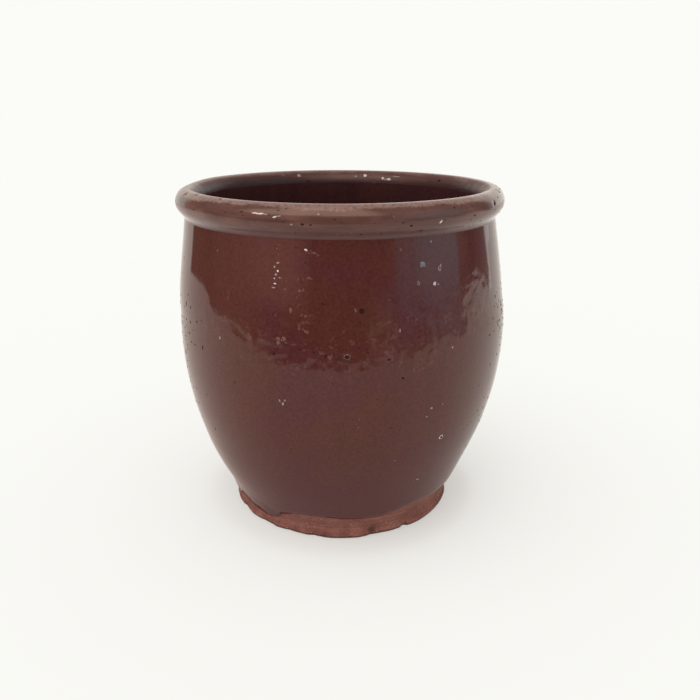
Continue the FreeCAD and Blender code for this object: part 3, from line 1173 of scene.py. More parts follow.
def worn_rim_glaze():
    """Satin brown glaze: a crest rubbed matt with a painted highlight, a dull red lip with painted shade.
    """
    material, tree, place = new_material("worn_rim_glaze")
    level = (split(tree, place), "Z")
    patches = noise_at(tree, place, rim_patch_size, detail=3.0, stretch=(0.6, 0.6, 1.6))
    colour = ramp(tree, patches, [(0.36, rim_dark), (0.5, rim_brown), (0.64, rim_warm)])
    streaks = noise_at(tree, place, rim_streak_height, detail=1.0, stretch=(0.08, 0.08, 1.0))
    colour = painted(tree, colour, [(step_between(tree, level, *low_rim_heights, 0.0, 0.8), rim_low)])
    around = length(tree, vector_calc(tree, "MULTIPLY", place, (1.0, 1.0, 0.0)))
    # The inner side of the lip is painted darker, to 0.6: painted shade where it turns into the pot.
    outer_half = step_between(tree, around, *outer_half_radii, 0.6, 1.0)
    inner_half = step_between(tree, around, *inner_half_radii)
    light = product(tree, step_between(tree, streaks, *most_of_noise, 0.92, 1.08), outer_half)
    colour = vector_calc(tree, "SCALE", colour, scale=light)
    ragged = noise_at(tree, place, ragged_size, detail=3.0, offset=0.2)
    height = calc(tree, "MULTIPLY_ADD", ragged, ragged_rise, level)
    broad = noise_at(tree, place, broad_size, offset=0.9)
    height = calc(tree, "MULTIPLY_ADD", broad, broad_rise, height)
    rubbing = noise_at(tree, place, rubbed_size, detail=3.0, offset=0.4)
    rubbed = step_between(tree, rubbing, 0.3, 0.6, 0.55, 1.0)
    # Partly rubbed wear, partly a painted highlight where the light falls on the top of the crest.
    worn = product(tree, step_between(tree, height, *worn_and_lit_heights), rubbed, outer_half)
    reddened = product(tree, step_between(tree, patches, 0.36, 0.6, 0.35, 0.8), inner_half)
    drips = noise_at(tree, place, drip_size, detail=3.0, stretch=(1.0, 1.0, 0.3), offset=0.6)
    flood_line = calc(tree, "MULTIPLY_ADD", drips, drip_rise, height)
    flooded = product(tree, step_between(tree, flood_line, *flooded_heights, 0.0, 0.9), inner_half)
    grit = specks(tree, place, *rim_grit_specks)
    layers = [(worn, rim_worn_and_lit), (reddened, lip_red), (flooded, lip_dark), (grit, rim_grit)]
    satin = noise_at(tree, place, satin_patch_size, detail=3.0, offset=0.7)
    rough = calc(tree, "MULTIPLY_ADD", worn, 0.12, step_between(tree, satin, 0.35, 0.7, 0.15, 0.23))
    rough = product(tree, rough, step_between(tree, level, *gloss_lost_heights, 0.5, 1.0))
    rough = calc(tree, "MULTIPLY_ADD", inner_half, 0.25, rough)
    pocked = product(tree, patches, inner_half)
    relief = calc(tree, "MULTIPLY_ADD", pocked, 18.0, calc(tree, "ADD", streaks, rubbed))
    finished(tree, painted(tree, colour, layers), rough, glaze_ior, relief, rim_relief_depth)
    return material


rim_finish = worn_rim_glaze()
print("worn rim glaze:", len(rim_finish.node_tree.nodes), "nodes")

# %% [markdown]
# ## The glaze inside and the bare clay
#
# Inside, the same glaze was poured in and swilled round, so it is thicker and darker, with a few
# upright runs. The foot was never glazed. Its clay is an iron-red earthenware, fired porous and matt,
# with sand in it, paler where it has been rubbed and darker in its pits. Its lowest edge is painted
# dark, a painted contact shadow where it meets the table.

# %% Inner glaze and red earthenware
# Poured glaze: thick brown glass that pooled and ran.
inner_brown, inner_red = "#432628", "#4a2a28"
inner_relief_depth = 0.004 * mm
inner_run_width, inner_grain_size = 7.0 * mm, 1.6 * mm
inner_pinhole_specks = (4.5 * mm, 0.4 * mm, 0.12 * mm, 0.5)
# Once-fired iron clay: matt and open, with grains of sand.
clay_red, clay_dark, clay_pale = "#7f4e43", "#6f4137", "#8b5b50"
# The first of these darkens the pits and paints the contact shadow at the foot's lowest edge.
clay_shadow_and_pit_colour, sand_colour, pit_colour = "#36201b", "#b98b7c", "#4c2a23"
clay_ior = 1.5
clay_roughness = 0.88
clay_relief_depth = 0.12 * mm
# Pit depths over which the clay is made darker.
darker_pit_depths = (0.6 * mm, 1.5 * mm)
# Heights over which the foot's lowest edge is painted dark, as a painted contact shadow.
contact_shadow_heights = (2.2 * mm, 1.2 * mm)
clay_cloud_size, clay_grain_size, clay_ring_height = 8.0 * mm, 0.8 * mm, 1.1 * mm
pit_darkening_raggedness, contact_shadow_raggedness = 0.8 * mm, 0.9 * mm
sand_specks = (2.4 * mm, 0.3 * mm, 0.1 * mm, 0.3)
clay_pit_specks = (2.2 * mm, 0.34 * mm, 0.12 * mm, 0.35)


def inner_lead_glaze():
    """Thick brown glaze with upright runs."""
    material, tree, place = new_material("inner_lead_glaze")
    runs = noise_at(tree, place, inner_run_width, stretch=(1.0, 1.0, 0.12))
    colour = ramp(tree, runs, [(0.38, inner_brown), (0.62, inner_red)])
    grain = noise_at(tree, place, inner_grain_size)
    colour = mottled(tree, colour, grain, 0.9, 1.1)
    holes = specks(tree, place, *inner_pinhole_specks)
    colour = painted(tree, colour, [(holes, pinhole_colour)])
    rough = step_between(tree, runs, *most_of_noise, 0.12, 0.2)
    finished(tree, colour, rough, glaze_ior, grain, inner_relief_depth)
    return material


def red_earthenware():
    """Matt red clay with sand and pits, and a painted contact shadow at its lowest edge."""
    material, tree, place = new_material("red_earthenware")
    clouds = noise_at(tree, place, clay_cloud_size, detail=4.0)
    colour = ramp(tree, clouds, [(0.28, clay_dark), (0.5, clay_red), (0.72, clay_pale)])
    grain = noise_at(tree, place, clay_grain_size, detail=3.0)
    rings = noise_at(tree, place, clay_ring_height, stretch=(0.05, 0.05, 1.0))
    colour = mottled(tree, mottled(tree, colour, grain, 0.84, 1.16), rings, 0.84, 1.14)
    # The clay is made darker in the deeper pits.
    pit_darkening = calc(tree, "MULTIPLY_ADD", grain, pit_darkening_raggedness, left_on_mesh(tree, "pitted"))
    pit_darkening = step_between(tree, pit_darkening, *darker_pit_depths, 0.0, 0.55)
    # Painted contact shadow: the lowest edge of the foot painted dark where it meets the table.
    painted_contact_shadow = calc(tree, "MULTIPLY_ADD", grain, contact_shadow_raggedness, (split(tree, place), "Z"))
    painted_contact_shadow = step_between(tree, painted_contact_shadow, *contact_shadow_heights, 0.0, 0.85)
    sand = specks(tree, place, *sand_specks)
    pits = specks(tree, place, *clay_pit_specks, offset=0.6)
    layers = [(pit_darkening, clay_shadow_and_pit_colour), (painted_contact_shadow, clay_shadow_and_pit_colour), (sand, sand_colour), (pits, pit_colour)]
    relief = calc(tree, "SUBTRACT", grain, pits)
    finished(tree, painted(tree, colour, layers), clay_roughness, clay_ior, relief, clay_relief_depth)
    return material


inner_finish = inner_lead_glaze()
clay_finish = red_earthenware()
for name, finish in (("inner glaze", inner_finish), ("clay", clay_finish)):
    print(name, "has", len(finish.node_tree.nodes), "nodes")

# %% [markdown]
# ## The three coats
#
# Now the coat tree runs three times. Its grid is fine on the outer coat, whose reflections show
# the least unevenness, and finest on the rim, whose roll is only a few millimetres round.

# %% Outer, rim and inner coats
outside_section = section_curve("outside_section", outside_path, on_glaze, 256)
outer = made_by(
    turned_coat,
    "outer_glaze_coat",
    Section=outside_section,
    Edge=glaze_edge,
    Dents=dents,
    Steps_round=outer_steps,
    Rows=140,
    Back_rows=10,
    Section_length=outside_run[-1] * mm,
    Material=brown_glaze,
)
rim_points, rim_run = walk(rim_path, on_glaze)
rim_section = section_curve("rim_section", rim_path, on_glaze, 128)


def rim_outer_radius(height):
    """Radius of the outer half of the rim at a height, in mm."""
    half = [p for p in rim_points if p.x >= crest_radius or p.y < crock_height - rim_bulge_drop]
    return min(half, key=lambda p: abs(p.y - height)).x


def rim_inner_radius(height):
    """Radius of the inner half of the rim at a height, in mm."""
    half = [p for p in rim_points if p.x <= crest_radius and p.y >= crock_height - lip_drop]
    return min(half, key=lambda p: abs(p.y - height)).x


# Nicks and rubbed hollows.
rim_dents = [
    (-62.4, 159.4, 2.4, -0.3, 1.0), (-54.3, 159.8, 2.2, -0.26, 1.0), (-40.4, 159.8, 2.2, -0.3, 1.0),
    (71.0, 159.5, 3.6, -0.32, 0.6), (58.8, 156.1, 2.0, -0.24, 1.0), (-25.0, 155.0, 4.0, 0.06, 0.5),
    (-12.0, 152.0, 3.0, -0.1, 0.8), (16.0, 157.6, 3.4, -0.14, 0.5), (22.0, 159.6, 3.2, -0.2, 0.5),
    (31.0, 152.0, 2.2, -0.12, 1.0),
]
drawn_rim_dents = 34
for _ in range(drawn_rim_dents):
    angle, height = chance.uniform(78.0, 262.0), chance.uniform(149.0, 159.8)
    reach, depth = chance.uniform(1.6, 3.6), chance.uniform(-0.3, -0.08)
    rim_dents.append((angle, height, reach, depth, chance.uniform(0.5, 1.0)))
rim_spots = spots("rim_spots", rim_dents, rim_outer_radius)
rim = made_by(
    turned_coat,
    "rim_glaze_coat",
    Section=rim_section,
    Edge=plain_edge,
    Dents=rim_spots,
    Steps_round=880,
    Rows=90,
    Back_rows=10,
    Section_length=rim_run[-1] * mm,
    Edge_thickness=glaze_thickness * mm,
    Peel_height=0.012 * mm,
    Material=rim_finish,
)
_, inner_run = walk(inside_path, on_glaze)
inner_section = section_curve("inner_section", inside_path, on_glaze, 128)
inner = made_by(
    turned_coat,
    "inner_glaze_coat",
    Section=inner_section,
    Edge=plain_edge,
    Dents=no_spots,
    Steps_round=400,
    Rows=150,
    Back_rows=24,
    Section_length=inner_run[-1] * mm,
    Edge_thickness=glaze_thickness * mm,
    Peel_height=0.01 * mm,
    Run_height=0.05 * mm,
    Material=inner_finish,
)

# %% [markdown]
# ## The clay body
#
# The clay is turned from the same section, sunk by the thickness of the glaze, and shares its
# unevenness. Only the foot shows. It was cut from the wheel with a wire and then lived on stone
# floors, so its lower edge is bitten all round: shallow scallops a few millimetres wide, and a few
# deep chips and pits. How deep the edge is bitten is one number for each column of the grid.

# %% The foot's bites and pits
# Depth in mm bitten from the foot's lower edge, at angles from the front.
foot_bites = [
    (-180.0, 0.3), (-171.0, 0.1), (-163.0, 1.2), (-158.0, 1.5), (-150.0, 0.5), (-141.0, 0.15),
    (-133.0, 0.8), (-126.0, 0.3), (-118.0, 0.0), (-109.0, 0.6), (-101.0, 0.3), (-92.0, 0.8),
    (-84.0, 0.6), (-76.0, 0.2), (-67.0, -0.05), (-62.8, 0.1), (-60.5, 0.75), (-55.5, 0.2),
    (-51.5, -0.2), (-46.6, 0.05), (-42.5, 0.6), (-38.0, 0.55), (-33.6, 0.0), (-30.0, 0.3), (-27.0, 0.8),
    (-21.7, 0.55), (-16.8, 0.3), (-13.8, 0.85), (-10.6, 0.4), (-7.5, -0.1), (-4.6, -0.3), (-0.3, -0.2),
    (8.5, -0.2), (11.6, 0.3), (14.9, 1.1), (19.8, 1.0), (26.4, 0.6), (31.0, 0.7), (33.0, 1.5),
    (34.4, 1.5), (36.0, 0.2), (37.6, -0.1), (43.5, -0.35), (58.0, -0.3), (74.0, -0.35), (86.0, 0.4),
    (97.0, 0.1), (106.0, 0.4), (113.0, 1.1), (121.0, 1.3), (129.0, 0.3), (141.0, 0.0), (150.0, 0.7),
    (159.0, 0.2), (170.0, 0.6), (180.0, 0.3),
]
bite_full_height = 1.2 * mm
bite_last_height = 7.5 * mm
# Heights between which the rough side of the foot begins, and ends under the glaze.
rough_side_from = (0.2 * mm, 1.4 * mm)
rough_side_to = (26.0 * mm, 19.0 * mm)
# Pits knocked into the side of the foot: angle, height, reach, depth, upright stretch.
foot_pits = [
    (15.5, 2.9, 4.0, -1.4, 0.6), (-8.0, 2.0, 1.9, -0.9, 0.8), (-24.0, 2.6, 1.8, -0.7, 0.8),
    (33.6, 2.2, 2.4, -0.4, 0.9), (-14.0, 1.6, 1.8, -0.4, 0.7), (4.0, 2.0, 1.3, -0.2, 1.0),
    (97.0, 3.0, 3.2, -0.7, 0.7), (-101.0, 4.0, 2.4, -0.5, 0.8), (171.0, 3.2, 3.4, -0.8, 0.7),
    (-140.0, 2.4, 2.2, -0.5, 0.8), (133.0, 4.2, 2.0, -0.4, 0.8),
]
clay_steps = 600


def clay_tree():
    """The Geometry Nodes tree that turns the clay body and bites its foot."""
    tree, given = new_tree(
        "turned_clay",
        [
            ("Geometry", "Geometry", None),
            ("Section", "Object", None),
            ("Bites", "Object", None),
            ("Pits", "Object", None),
            ("Steps round", "Int", clay_steps),
            ("Bite full height", "Float", bite_full_height),
            ("Bite last height", "Float", bite_last_height),
            ("Grit size", "Float", 2.6 * mm),
            ("Grit height", "Float", 0.06 * mm),
            ("Material", "Material", None),
        ],
    )
    section, bites, pits = (geometry_of(tree, given, name) for name in ("Section", "Bites", "Pits"))
    drawn = add(tree, "GeometryNodeResampleCurve", {"Curve": section}, mode="EVALUATED")
    how_far = (add(tree, "GeometryNodeSplineParameter"), "Factor")
    wire = add(tree, "GeometryNodeCurveToMesh", {"Curve": keep(tree, drawn, "share", how_far)})
    count = add(tree, "GeometryNodeAttributeDomainSize", {"Geometry": wire})
    last_row = calc(tree, "SUBTRACT", (count, "Point Count"), 1.0)
    grid, turn, column, row = unrolled(tree, given, last_row)
    share = sampled(tree, wire, stored(tree, "share"), row)
    place, normal = on_section(tree, section, share, turn)
    level = (split(tree, place), "Z")
    felt = step_between(tree, level, (given, "Bite last height"), (given, "Bite full height"))
    bite = calc(tree, "MULTIPLY", sampled(tree, bites, stored(tree, "bite"), column), felt)
    shrink = calc(tree, "SUBTRACT", 1.0, calc(tree, "DIVIDE", bite, foot_radius * mm))
    narrow = add(tree, "ShaderNodeCombineXYZ", {"X": shrink, "Y": shrink, "Z": 1.0})
    bitten = vector_calc(tree, "MULTIPLY", place, narrow)
    pit = near_spot(tree, pits, place)
    grit = waves(tree, given, [(place, "Grit size", (given, "Grit height"), 2.0)])
    on_side = step_between(tree, level, *rough_side_from)
    bare_part = step_between(tree, level, *rough_side_to)
    outside = calc(tree, "LESS_THAN", share, 0.5)
    rough = calc(tree, "MULTIPLY", calc(tree, "ADD", pit, grit), on_side)
    rough = calc(tree, "MULTIPLY", calc(tree, "MULTIPLY", rough, bare_part), outside)
    final = uneven(tree, bitten, place, normal, calc(tree, "MINIMUM", rough, 0.0))
    kept = keep(tree, grid, "pitted", calc(tree, "MULTIPLY", pit, -1.0))
    moved = add(tree, "GeometryNodeSetPosition", {"Geometry": kept, "Position": final})
    finish_tree(tree, given, moved)
    return tree


bite_angles = column_angles(clay_steps)
bites = loose_points(
    "bites", [(0.0, 0.0, 0.0)] * len(bite_angles), bite=in_columns(foot_bites, bite_angles)
)
pits = spots("pits", foot_pits, lambda height: foot_radius)
clay_section = section_curve("clay_section", clay_path, on_clay, 11)
clay = made_by(
    clay_tree(),
    "red_clay_body",
    Section=clay_section,
    Bites=bites,
    Pits=pits,
    Steps_round=clay_steps,
    Material=clay_finish,
)

# %% [markdown]
# ## Burst bubbles, chips and painted glints
#
# Here and there a bubble burst as the glaze set. It left a tiny ring, pale where the skin broke and
# dark inside, and use has knocked pale chips and dark nicks into the rim. They repeat, so one small
# ring is modelled once and Geometry Nodes lays it on the glaze at each chosen place: turned to
# the surface, stretched, made ragged by noise, and pulled onto the coat point by point. The larger
# ones in front are listed one by one. A seeded draw spreads small ones over the whole pot and crowds
# more onto its flanks, and the wider patches of haze and pink crust are broken into crumbs.
# Not every mark is crust or a chip: pale, white, pink and haze dashes high on the front left of the
# wall and the rim are painted highlights, and blue ones on the front right painted reflections.

# %% One burst bubble
ring_sides = 10
# Distance from the middle, and the height above the glaze in mm.
ring_profile = [(0.5, 0.016), (0.78, 0.05), (1.0, -0.02)]


def burst_bubble():
    """A closed ring one unit in radius, with its height kept as a number for each point."""
    points, rises, middles, faces = [(0.0, 0.0, 0.0)], [0.012 * mm], [0.0], []
    for share, rise in ring_profile:
        for side in range(ring_sides):
            turn = 2.0 * math.pi * side / ring_sides
            points.append((share * math.cos(turn), share * math.sin(turn), 0.0))
            rises.append(rise * mm)
            middles.append(share)
    points.append((0.0, 0.0, 0.0))
    rises.append(-0.08 * mm)
    middles.append(1.0)
    for side in range(ring_sides):
        after = (side + 1) % ring_sides
        faces.append((0, 1 + side, 1 + after))
        for ring in range(len(ring_profile) - 1):
            low, high = 1 + ring * ring_sides, 1 + (ring + 1) * ring_sides
            faces.append((low + side, high + side, high + after, low + after))
        rim_start = 1 + (len(ring_profile) - 1) * ring_sides
        faces.append((len(points) - 1, rim_start + after, rim_start + side))
    mesh = bpy.data.meshes.new("burst_bubble")
    mesh.from_pydata(points, [], faces)
    mesh.attributes.new("rise", "FLOAT", "POINT").data.foreach_set("value", rises)
    mesh.attributes.new("from_middle", "FLOAT", "POINT").data.foreach_set("value", middles)
    ring = bpy.data.objects.new("burst_bubble", mesh)
    bpy.context.scene.collection.objects.link(ring)
    helpers.append(ring)
    return ring


def from_surface(tree, surface, value):
    """A vector at the nearest point of a surface."""
    inputs = {"Mesh": surface, "Value": value}
    return (add(tree, "GeometryNodeSampleNearestSurface", inputs, data_type="FLOAT_VECTOR"), "Value")


def marks_tree():
    """The Geometry Nodes tree that lays one small mark on a surface at each chosen place."""
    tree, given = new_tree(
        "laid_marks",
        [
            ("Geometry", "Geometry", None),
            ("Places", "Object", None),
            ("Surface", "Object", None),
            ("Mark", "Object", None),
            ("Ragged size", "Float", 0.6 * mm),
            ("Raggedness", "Float", 1.3),
            ("Material", "Material", None),
        ],
    )
    places, surface, mark = (geometry_of(tree, given, name) for name in ("Places", "Surface", "Mark"))
    wide, tall, turn, rise = (stored(tree, name) for name in ("wide", "tall", "turn", "rise"))
    upright = (0.0, 0.0, 1.0)
    normal = (add(tree, "GeometryNodeInputNormal"), "Normal")
    facing = from_surface(tree, surface, normal)
    axes = {"Primary Axis": facing, "Secondary Axis": vector_calc(tree, "CROSS_PRODUCT", upright, facing)}
    stand = add(tree, "FunctionNodeAxesToRotation", axes, primary_axis="Z", secondary_axis="X")
    twist = add(tree, "FunctionNodeAxisAngleToRotation", {"Axis": upright, "Angle": turn})
    twisted = {"Rotation": stand, "Rotate By": twist}
    stand = add(tree, "FunctionNodeRotateRotation", twisted, rotation_space="LOCAL")
    size = add(tree, "ShaderNodeCombineXYZ", {"X": wide, "Y": tall, "Z": 1.0})
    marks = {"Points": places, "Instance": mark, "Rotation": stand, "Scale": size}
    copies = add(tree, "GeometryNodeInstanceOnPoints", marks)
    real = add(tree, "GeometryNodeRealizeInstances", {"Geometry": copies})
    here = (add(tree, "GeometryNodeInputPosition"), "Position")
    scale = calc(tree, "DIVIDE", 1.0, (given, "Ragged size"))
    noise = add(tree, "ShaderNodeTexNoise", {"Vector": here, "Scale": scale, "Detail": 1.0})
    pull = vector_calc(tree, "SUBTRACT", (noise, "Color"), (0.5, 0.5, 0.5))
    least = calc(tree, "MULTIPLY", calc(tree, "MINIMUM", wide, tall), (given, "Raggedness"))
    pull = vector_calc(tree, "SCALE", pull, scale=least)
    ragged = add(tree, "GeometryNodeSetPosition", {"Geometry": real, "Offset": pull})
    out = vector_calc(tree, "SCALE", from_surface(tree, surface, normal), scale=rise)
    on_coat = vector_calc(tree, "ADD", from_surface(tree, surface, here), out)
    moved = add(tree, "GeometryNodeSetPosition", {"Geometry": ragged, "Position": on_coat})
    smooth = add(tree, "GeometryNodeSetShadeSmooth", {"Geometry": moved}, domain="FACE")
    painted_end(tree, given, smooth)
    return tree


laid_marks = marks_tree()
bubble = burst_bubble()
print("one burst bubble has", len(bubble.data.polygons), "faces")

# %% The crust of a burst bubble, and of the painted glints
# Broken glaze skin and the lime or clay behind it: matt, in a few colours. The white, pale, pink,
# haze and blue ones also serve for painted highlights and reflections.
crust_and_glint_colours = {
    "dark": "#35191a", "pit": "#45251f", "haze": "#6f473e", "rust": "#76402f",
    "pink": "#7a574e", "blue": "#85878f", "pale": "#ab9389", "white": "#e4d6cc",
}
hollow_colour = "#2d2029"
# A porous crust swallows most of the light that a smooth skin would throw back.
crust_ior = 1.15
crust_roughness = 0.6
crust_grain_size = 0.5 * mm
# How far from its middle, as a share of its radius, the dark of a hollow mark fades and is full.
hollow_ends = (0.78, 0.6)
crust_and_glint_kinds = {kind: (index + 0.5) / len(crust_and_glint_colours) for index, kind in enumerate(crust_and_glint_colours)}


def crust_and_painted_glints():
    """A matt crust or painted glint, coloured by a number on each mark, dark inside a hollow one."""
    material, tree, place = new_material("crust_and_painted_glints")
    stops = [(index / len(crust_and_glint_colours), colour) for index, colour in enumerate(crust_and_glint_colours.values())]
    colour = ramp(tree, left_on_mesh(tree, "kind"), stops)
    colour[0].color_ramp.interpolation = "CONSTANT"
    colour = mottled(tree, colour, noise_at(tree, place, crust_grain_size), 0.7, 1.1)
    inside = step_between(tree, left_on_mesh(tree, "from_middle"), *hollow_ends)
    inside = product(tree, inside, left_on_mesh(tree, "hollow"))
    finished(tree, painted(tree, colour, [(inside, hollow_colour)]), crust_roughness, crust_ior)
    return material


crust = crust_and_painted_glints()


def laid(name, rows, surface, radius_at, clear=1.2):
    """Lays marks on a coat. Each row: angle, height, width, height of it, turn, kind and hollow.

    They start this many mm clear of the coat's face, so that its back is never the nearer side.
    """
    angles, heights, widths, talls, turns, kinds, hollows = zip(*rows)
    cloud = loose_points(
        name + "_places",
        [place_at(angle, height, radius_at(height) + clear) for angle, height in zip(angles, heights)],
        wide=[width * 0.5 * mm for width in widths],
        tall=[tall * 0.5 * mm for tall in talls],
        turn=[math.radians(turn) for turn in turns],
        kind=[crust_and_glint_kinds[kind] for kind in kinds],
        hollow=hollows,
    )
    return made_by(laid_marks, name, Places=cloud, Surface=surface, Mark=bubble, Material=crust)


print("crusts come in", ", ".join(crust_and_glint_colours))

# %% Burst bubbles and painted glints on the wall
def whole(rows):
    """Rows of marks with the last number, one for a hollow mark, put in as zero where it is left out."""
    return [row if len(row) == 7 else (*row, 0.0) for row in rows]


# Most of the pale, white, pink and haze marks from about -21 to -2 degrees, 100 to 145 mm high,
# are painted highlights on ripples of the glaze, and the blue and white ones from 24 to 32 degrees
# are pits painted with a reflection of the window.
wall_marks = whole([
    (25.7, 135.8, 2.6, 2.4, 0, "blue", 0.3), (31.9, 133.4, 1.7, 2.3, 10, "pale", 0.7),
    (24.0, 128.6, 1.4, 2.0, 15, "blue", 0.6), (29.7, 127.7, 1.5, 1.7, 0, "white", 0.3),
    (31.0, 127.2, 1.0, 0.8, 0, "blue"), (32.4, 134.6, 0.8, 1.2, 0, "blue"),
    (18.6, 142.3, 1.1, 1.2, 0, "pink"), (29.2, 144.4, 0.8, 1.0, 0, "blue"),
    (-42.6, 138.9, 1.1, 1.1, 0, "pink"), (-17.8, 135.1, 0.8, 1.2, 0, "rust"),
    (-17.7, 131.2, 0.8, 0.9, 0, "rust"), (-16.1, 130.2, 1.0, 0.9, 0, "rust"),
    (-19.1, 137.1, 1.5, 0.7, 20, "pale"), (-20.1, 135.5, 0.8, 1.1, 0, "pale"),
    (-19.0, 134.0, 0.8, 1.0, -20, "white"), (-19.6, 132.6, 1.3, 0.8, 0, "pale"),
    (-18.3, 131.4, 0.9, 0.7, 10, "pale"), (-20.0, 131.0, 0.7, 0.6, 0, "white"),
    (-19.8, 129.0, 1.5, 0.6, 0, "white"), (-20.2, 127.4, 1.8, 0.6, 0, "pale"),
    (-19.5, 142.6, 0.8, 0.6, 0, "pink"), (-19.0, 144.2, 0.8, 0.6, 0, "pink"),
    (-18.9, 140.4, 0.7, 1.1, 0, "haze"), (-16.6, 127.1, 1.0, 1.0, 0, "pink"),
    (-10.4, 142.7, 1.5, 0.8, -25, "white"), (-9.6, 142.0, 3.0, 1.5, -20, "haze"),
    (-8.0, 141.5, 2.4, 1.1, -15, "pink"), (-6.8, 141.0, 2.0, 1.5, 0, "haze"),
    (-12.6, 131.3, 1.0, 1.6, 0, "haze"), (-10.6, 131.7, 2.6, 1.2, 0, "haze"),
    (-9.3, 131.8, 3.0, 1.0, 0, "pink"), (-11.3, 127.5, 2.7, 1.8, 0, "pink"),
    (-12.4, 124.6, 2.0, 1.4, 0, "haze"), (-14.7, 119.0, 1.2, 2.4, 0, "pink"),
    (-10.8, 116.9, 3.8, 1.8, 0, "haze"), (-8.6, 117.4, 1.8, 1.0, 0, "haze"),
    (-10.0, 114.2, 3.4, 1.5, 8, "haze"), (-12.4, 113.4, 1.8, 1.3, 0, "haze"),
    (-11.0, 111.9, 3.8, 1.6, 0, "haze"), (-9.9, 110.7, 2.0, 1.7, 0, "pink"),
    (-12.3, 121.1, 1.5, 1.2, 0, "haze"), (-19.4, 116.4, 0.6, 1.6, 0, "haze"),
    (-17.6, 106.6, 3.6, 3.0, 20, "pink"), (-15.6, 105.4, 2.2, 1.2, -10, "haze"),
    (-14.0, 105.0, 2.6, 0.9, 0, "haze"), (-6.0, 104.4, 2.4, 0.5, 0, "haze"),
    (-2.8, 104.6, 2.6, 0.5, 0, "haze"), (-3.0, 100.5, 1.8, 2.0, 0, "pink"),
    (-4.4, 100.9, 1.1, 1.1, 0, "dark"), (-12.0, 103.2, 0.9, 0.9, 0, "dark"),
    (12.9, 101.7, 3.2, 1.9, 0, "haze"), (14.2, 98.8, 1.8, 0.9, 0, "dark"),
    (17.5, 110.6, 0.6, 1.8, 0, "pale"), (-36.5, 121.4, 1.2, 3.4, 0, "haze"),
    (1.8, 100.8, 3.2, 2.3, 0, "pink", 1.0), (35.9, 56.3, 2.6, 2.6, 0, "white", 1.0),
    (6.2, 119.3, 2.2, 2.4, 0, "dark"), (4.4, 119.6, 0.8, 1.8, 15, "pink"),
    (-18.6, 79.7, 0.7, 1.5, 25, "pale"), (-17.6, 78.4, 1.1, 1.5, 0, "pale"),
    (-16.9, 80.1, 0.7, 1.3, -20, "pale"), (29.2, 73.7, 1.4, 0.9, -25, "pale"),
    (33.5, 74.2, 0.8, 0.7, 0, "pale"), (27.8, 69.9, 1.1, 0.8, -20, "pale"),
    (18.6, 49.0, 1.3, 0.9, 0, "pink"), (31.0, 33.2, 1.3, 1.0, 0, "pale"),
    (29.0, 32.6, 0.8, 0.7, 0, "pink"), (35.7, 99.8, 1.0, 1.0, 0, "pale"),
    (-40.2, 102.5, 0.9, 1.3, 0, "pale"), (24.5, 43.7, 0.7, 0.7, 0, "pink"),
    (5.6, 72.6, 0.7, 1.8, 20, "haze"), (4.6, 70.4, 0.9, 1.1, 0, "haze"),
    (5.4, 68.8, 0.6, 0.9, 0, "pink"), (18.5, 90.2, 1.5, 1.2, 0, "dark"),
    (-19.8, 100.4, 1.4, 1.3, 0, "dark", 1.0), (-34.7, 83.9, 0.9, 1.0, 0, "dark"),
    (15.5, 67.4, 0.8, 0.8, 0, "dark"), (46.8, 128.6, 1.0, 1.4, 0, "pink"),
])
drawn_marks, flank_pinholes = 150, 64
seen_half_angle = 44.0
kinds_in_front = ("pit", "pit", "haze", "rust", "pink", "haze")
kinds_elsewhere = ("dark", "pit", "haze", "rust", "pink", "pale")
for _ in range(drawn_marks):
    angle = chance.uniform(-180.0, 180.0)
    in_front = abs(angle) < seen_half_angle
    size = chance.uniform(0.35, 0.7) if in_front else chance.uniform(0.4, 1.5)
    kind = chance.choice(kinds_in_front if in_front else kinds_elsewhere)
    height, tall = chance.uniform(24.0, 144.0), size * chance.uniform(0.7, 1.4)
    turn, hollow = chance.uniform(-30.0, 30.0), float(chance.random() < 0.3)
    wall_marks.append((angle, height, size, tall, turn, kind, hollow))
# Pinholes crowd on both flanks, where the glaze was thickest.
for side in (-1.0, 1.0):
    for _ in range(flank_pinholes):
        size = chance.uniform(0.6, 1.3)
        angle = side * min(max(chance.gauss(70.0, 9.0), 50.0), 110.0)
        heights = (chance.gauss(104.0, 7.0), chance.gauss(98.0, 12.0), chance.uniform(28.0, 118.0))
        height = chance.choice(heights)
        wall_marks.append((angle, height, size, size * chance.uniform(0.9, 1.6), 0.0, "pit", 0.0))
# Marks of these kinds that are wider than this many mm fall into this many crumbs.
crumbled = {"haze": (1.0, 5), "pink": (1.7, 7)}
crumbs = []
for angle, height, width, tall, turn, kind, hollow in wall_marks:
    widest, pieces = crumbled.get(kind, (width, 0))
    if hollow == 1.0 or width <= widest:
        crumbs.append((angle, height, width, tall, turn, kind, hollow))
        continue
    for _ in range(pieces):
        aside, rise = chance.uniform(-0.45, 0.45) * width, chance.uniform(-0.45, 0.45) * tall
        size = chance.uniform(0.18, 0.42)
        at = (angle + math.degrees(aside / belly_radius), height + rise)
        crumbs.append((*at, width * size, tall * size * 1.4, turn, kind, 0.0))
wall_bubbles_and_glints = laid("wall_burst_bubbles", crumbs, outer, wall_radius)

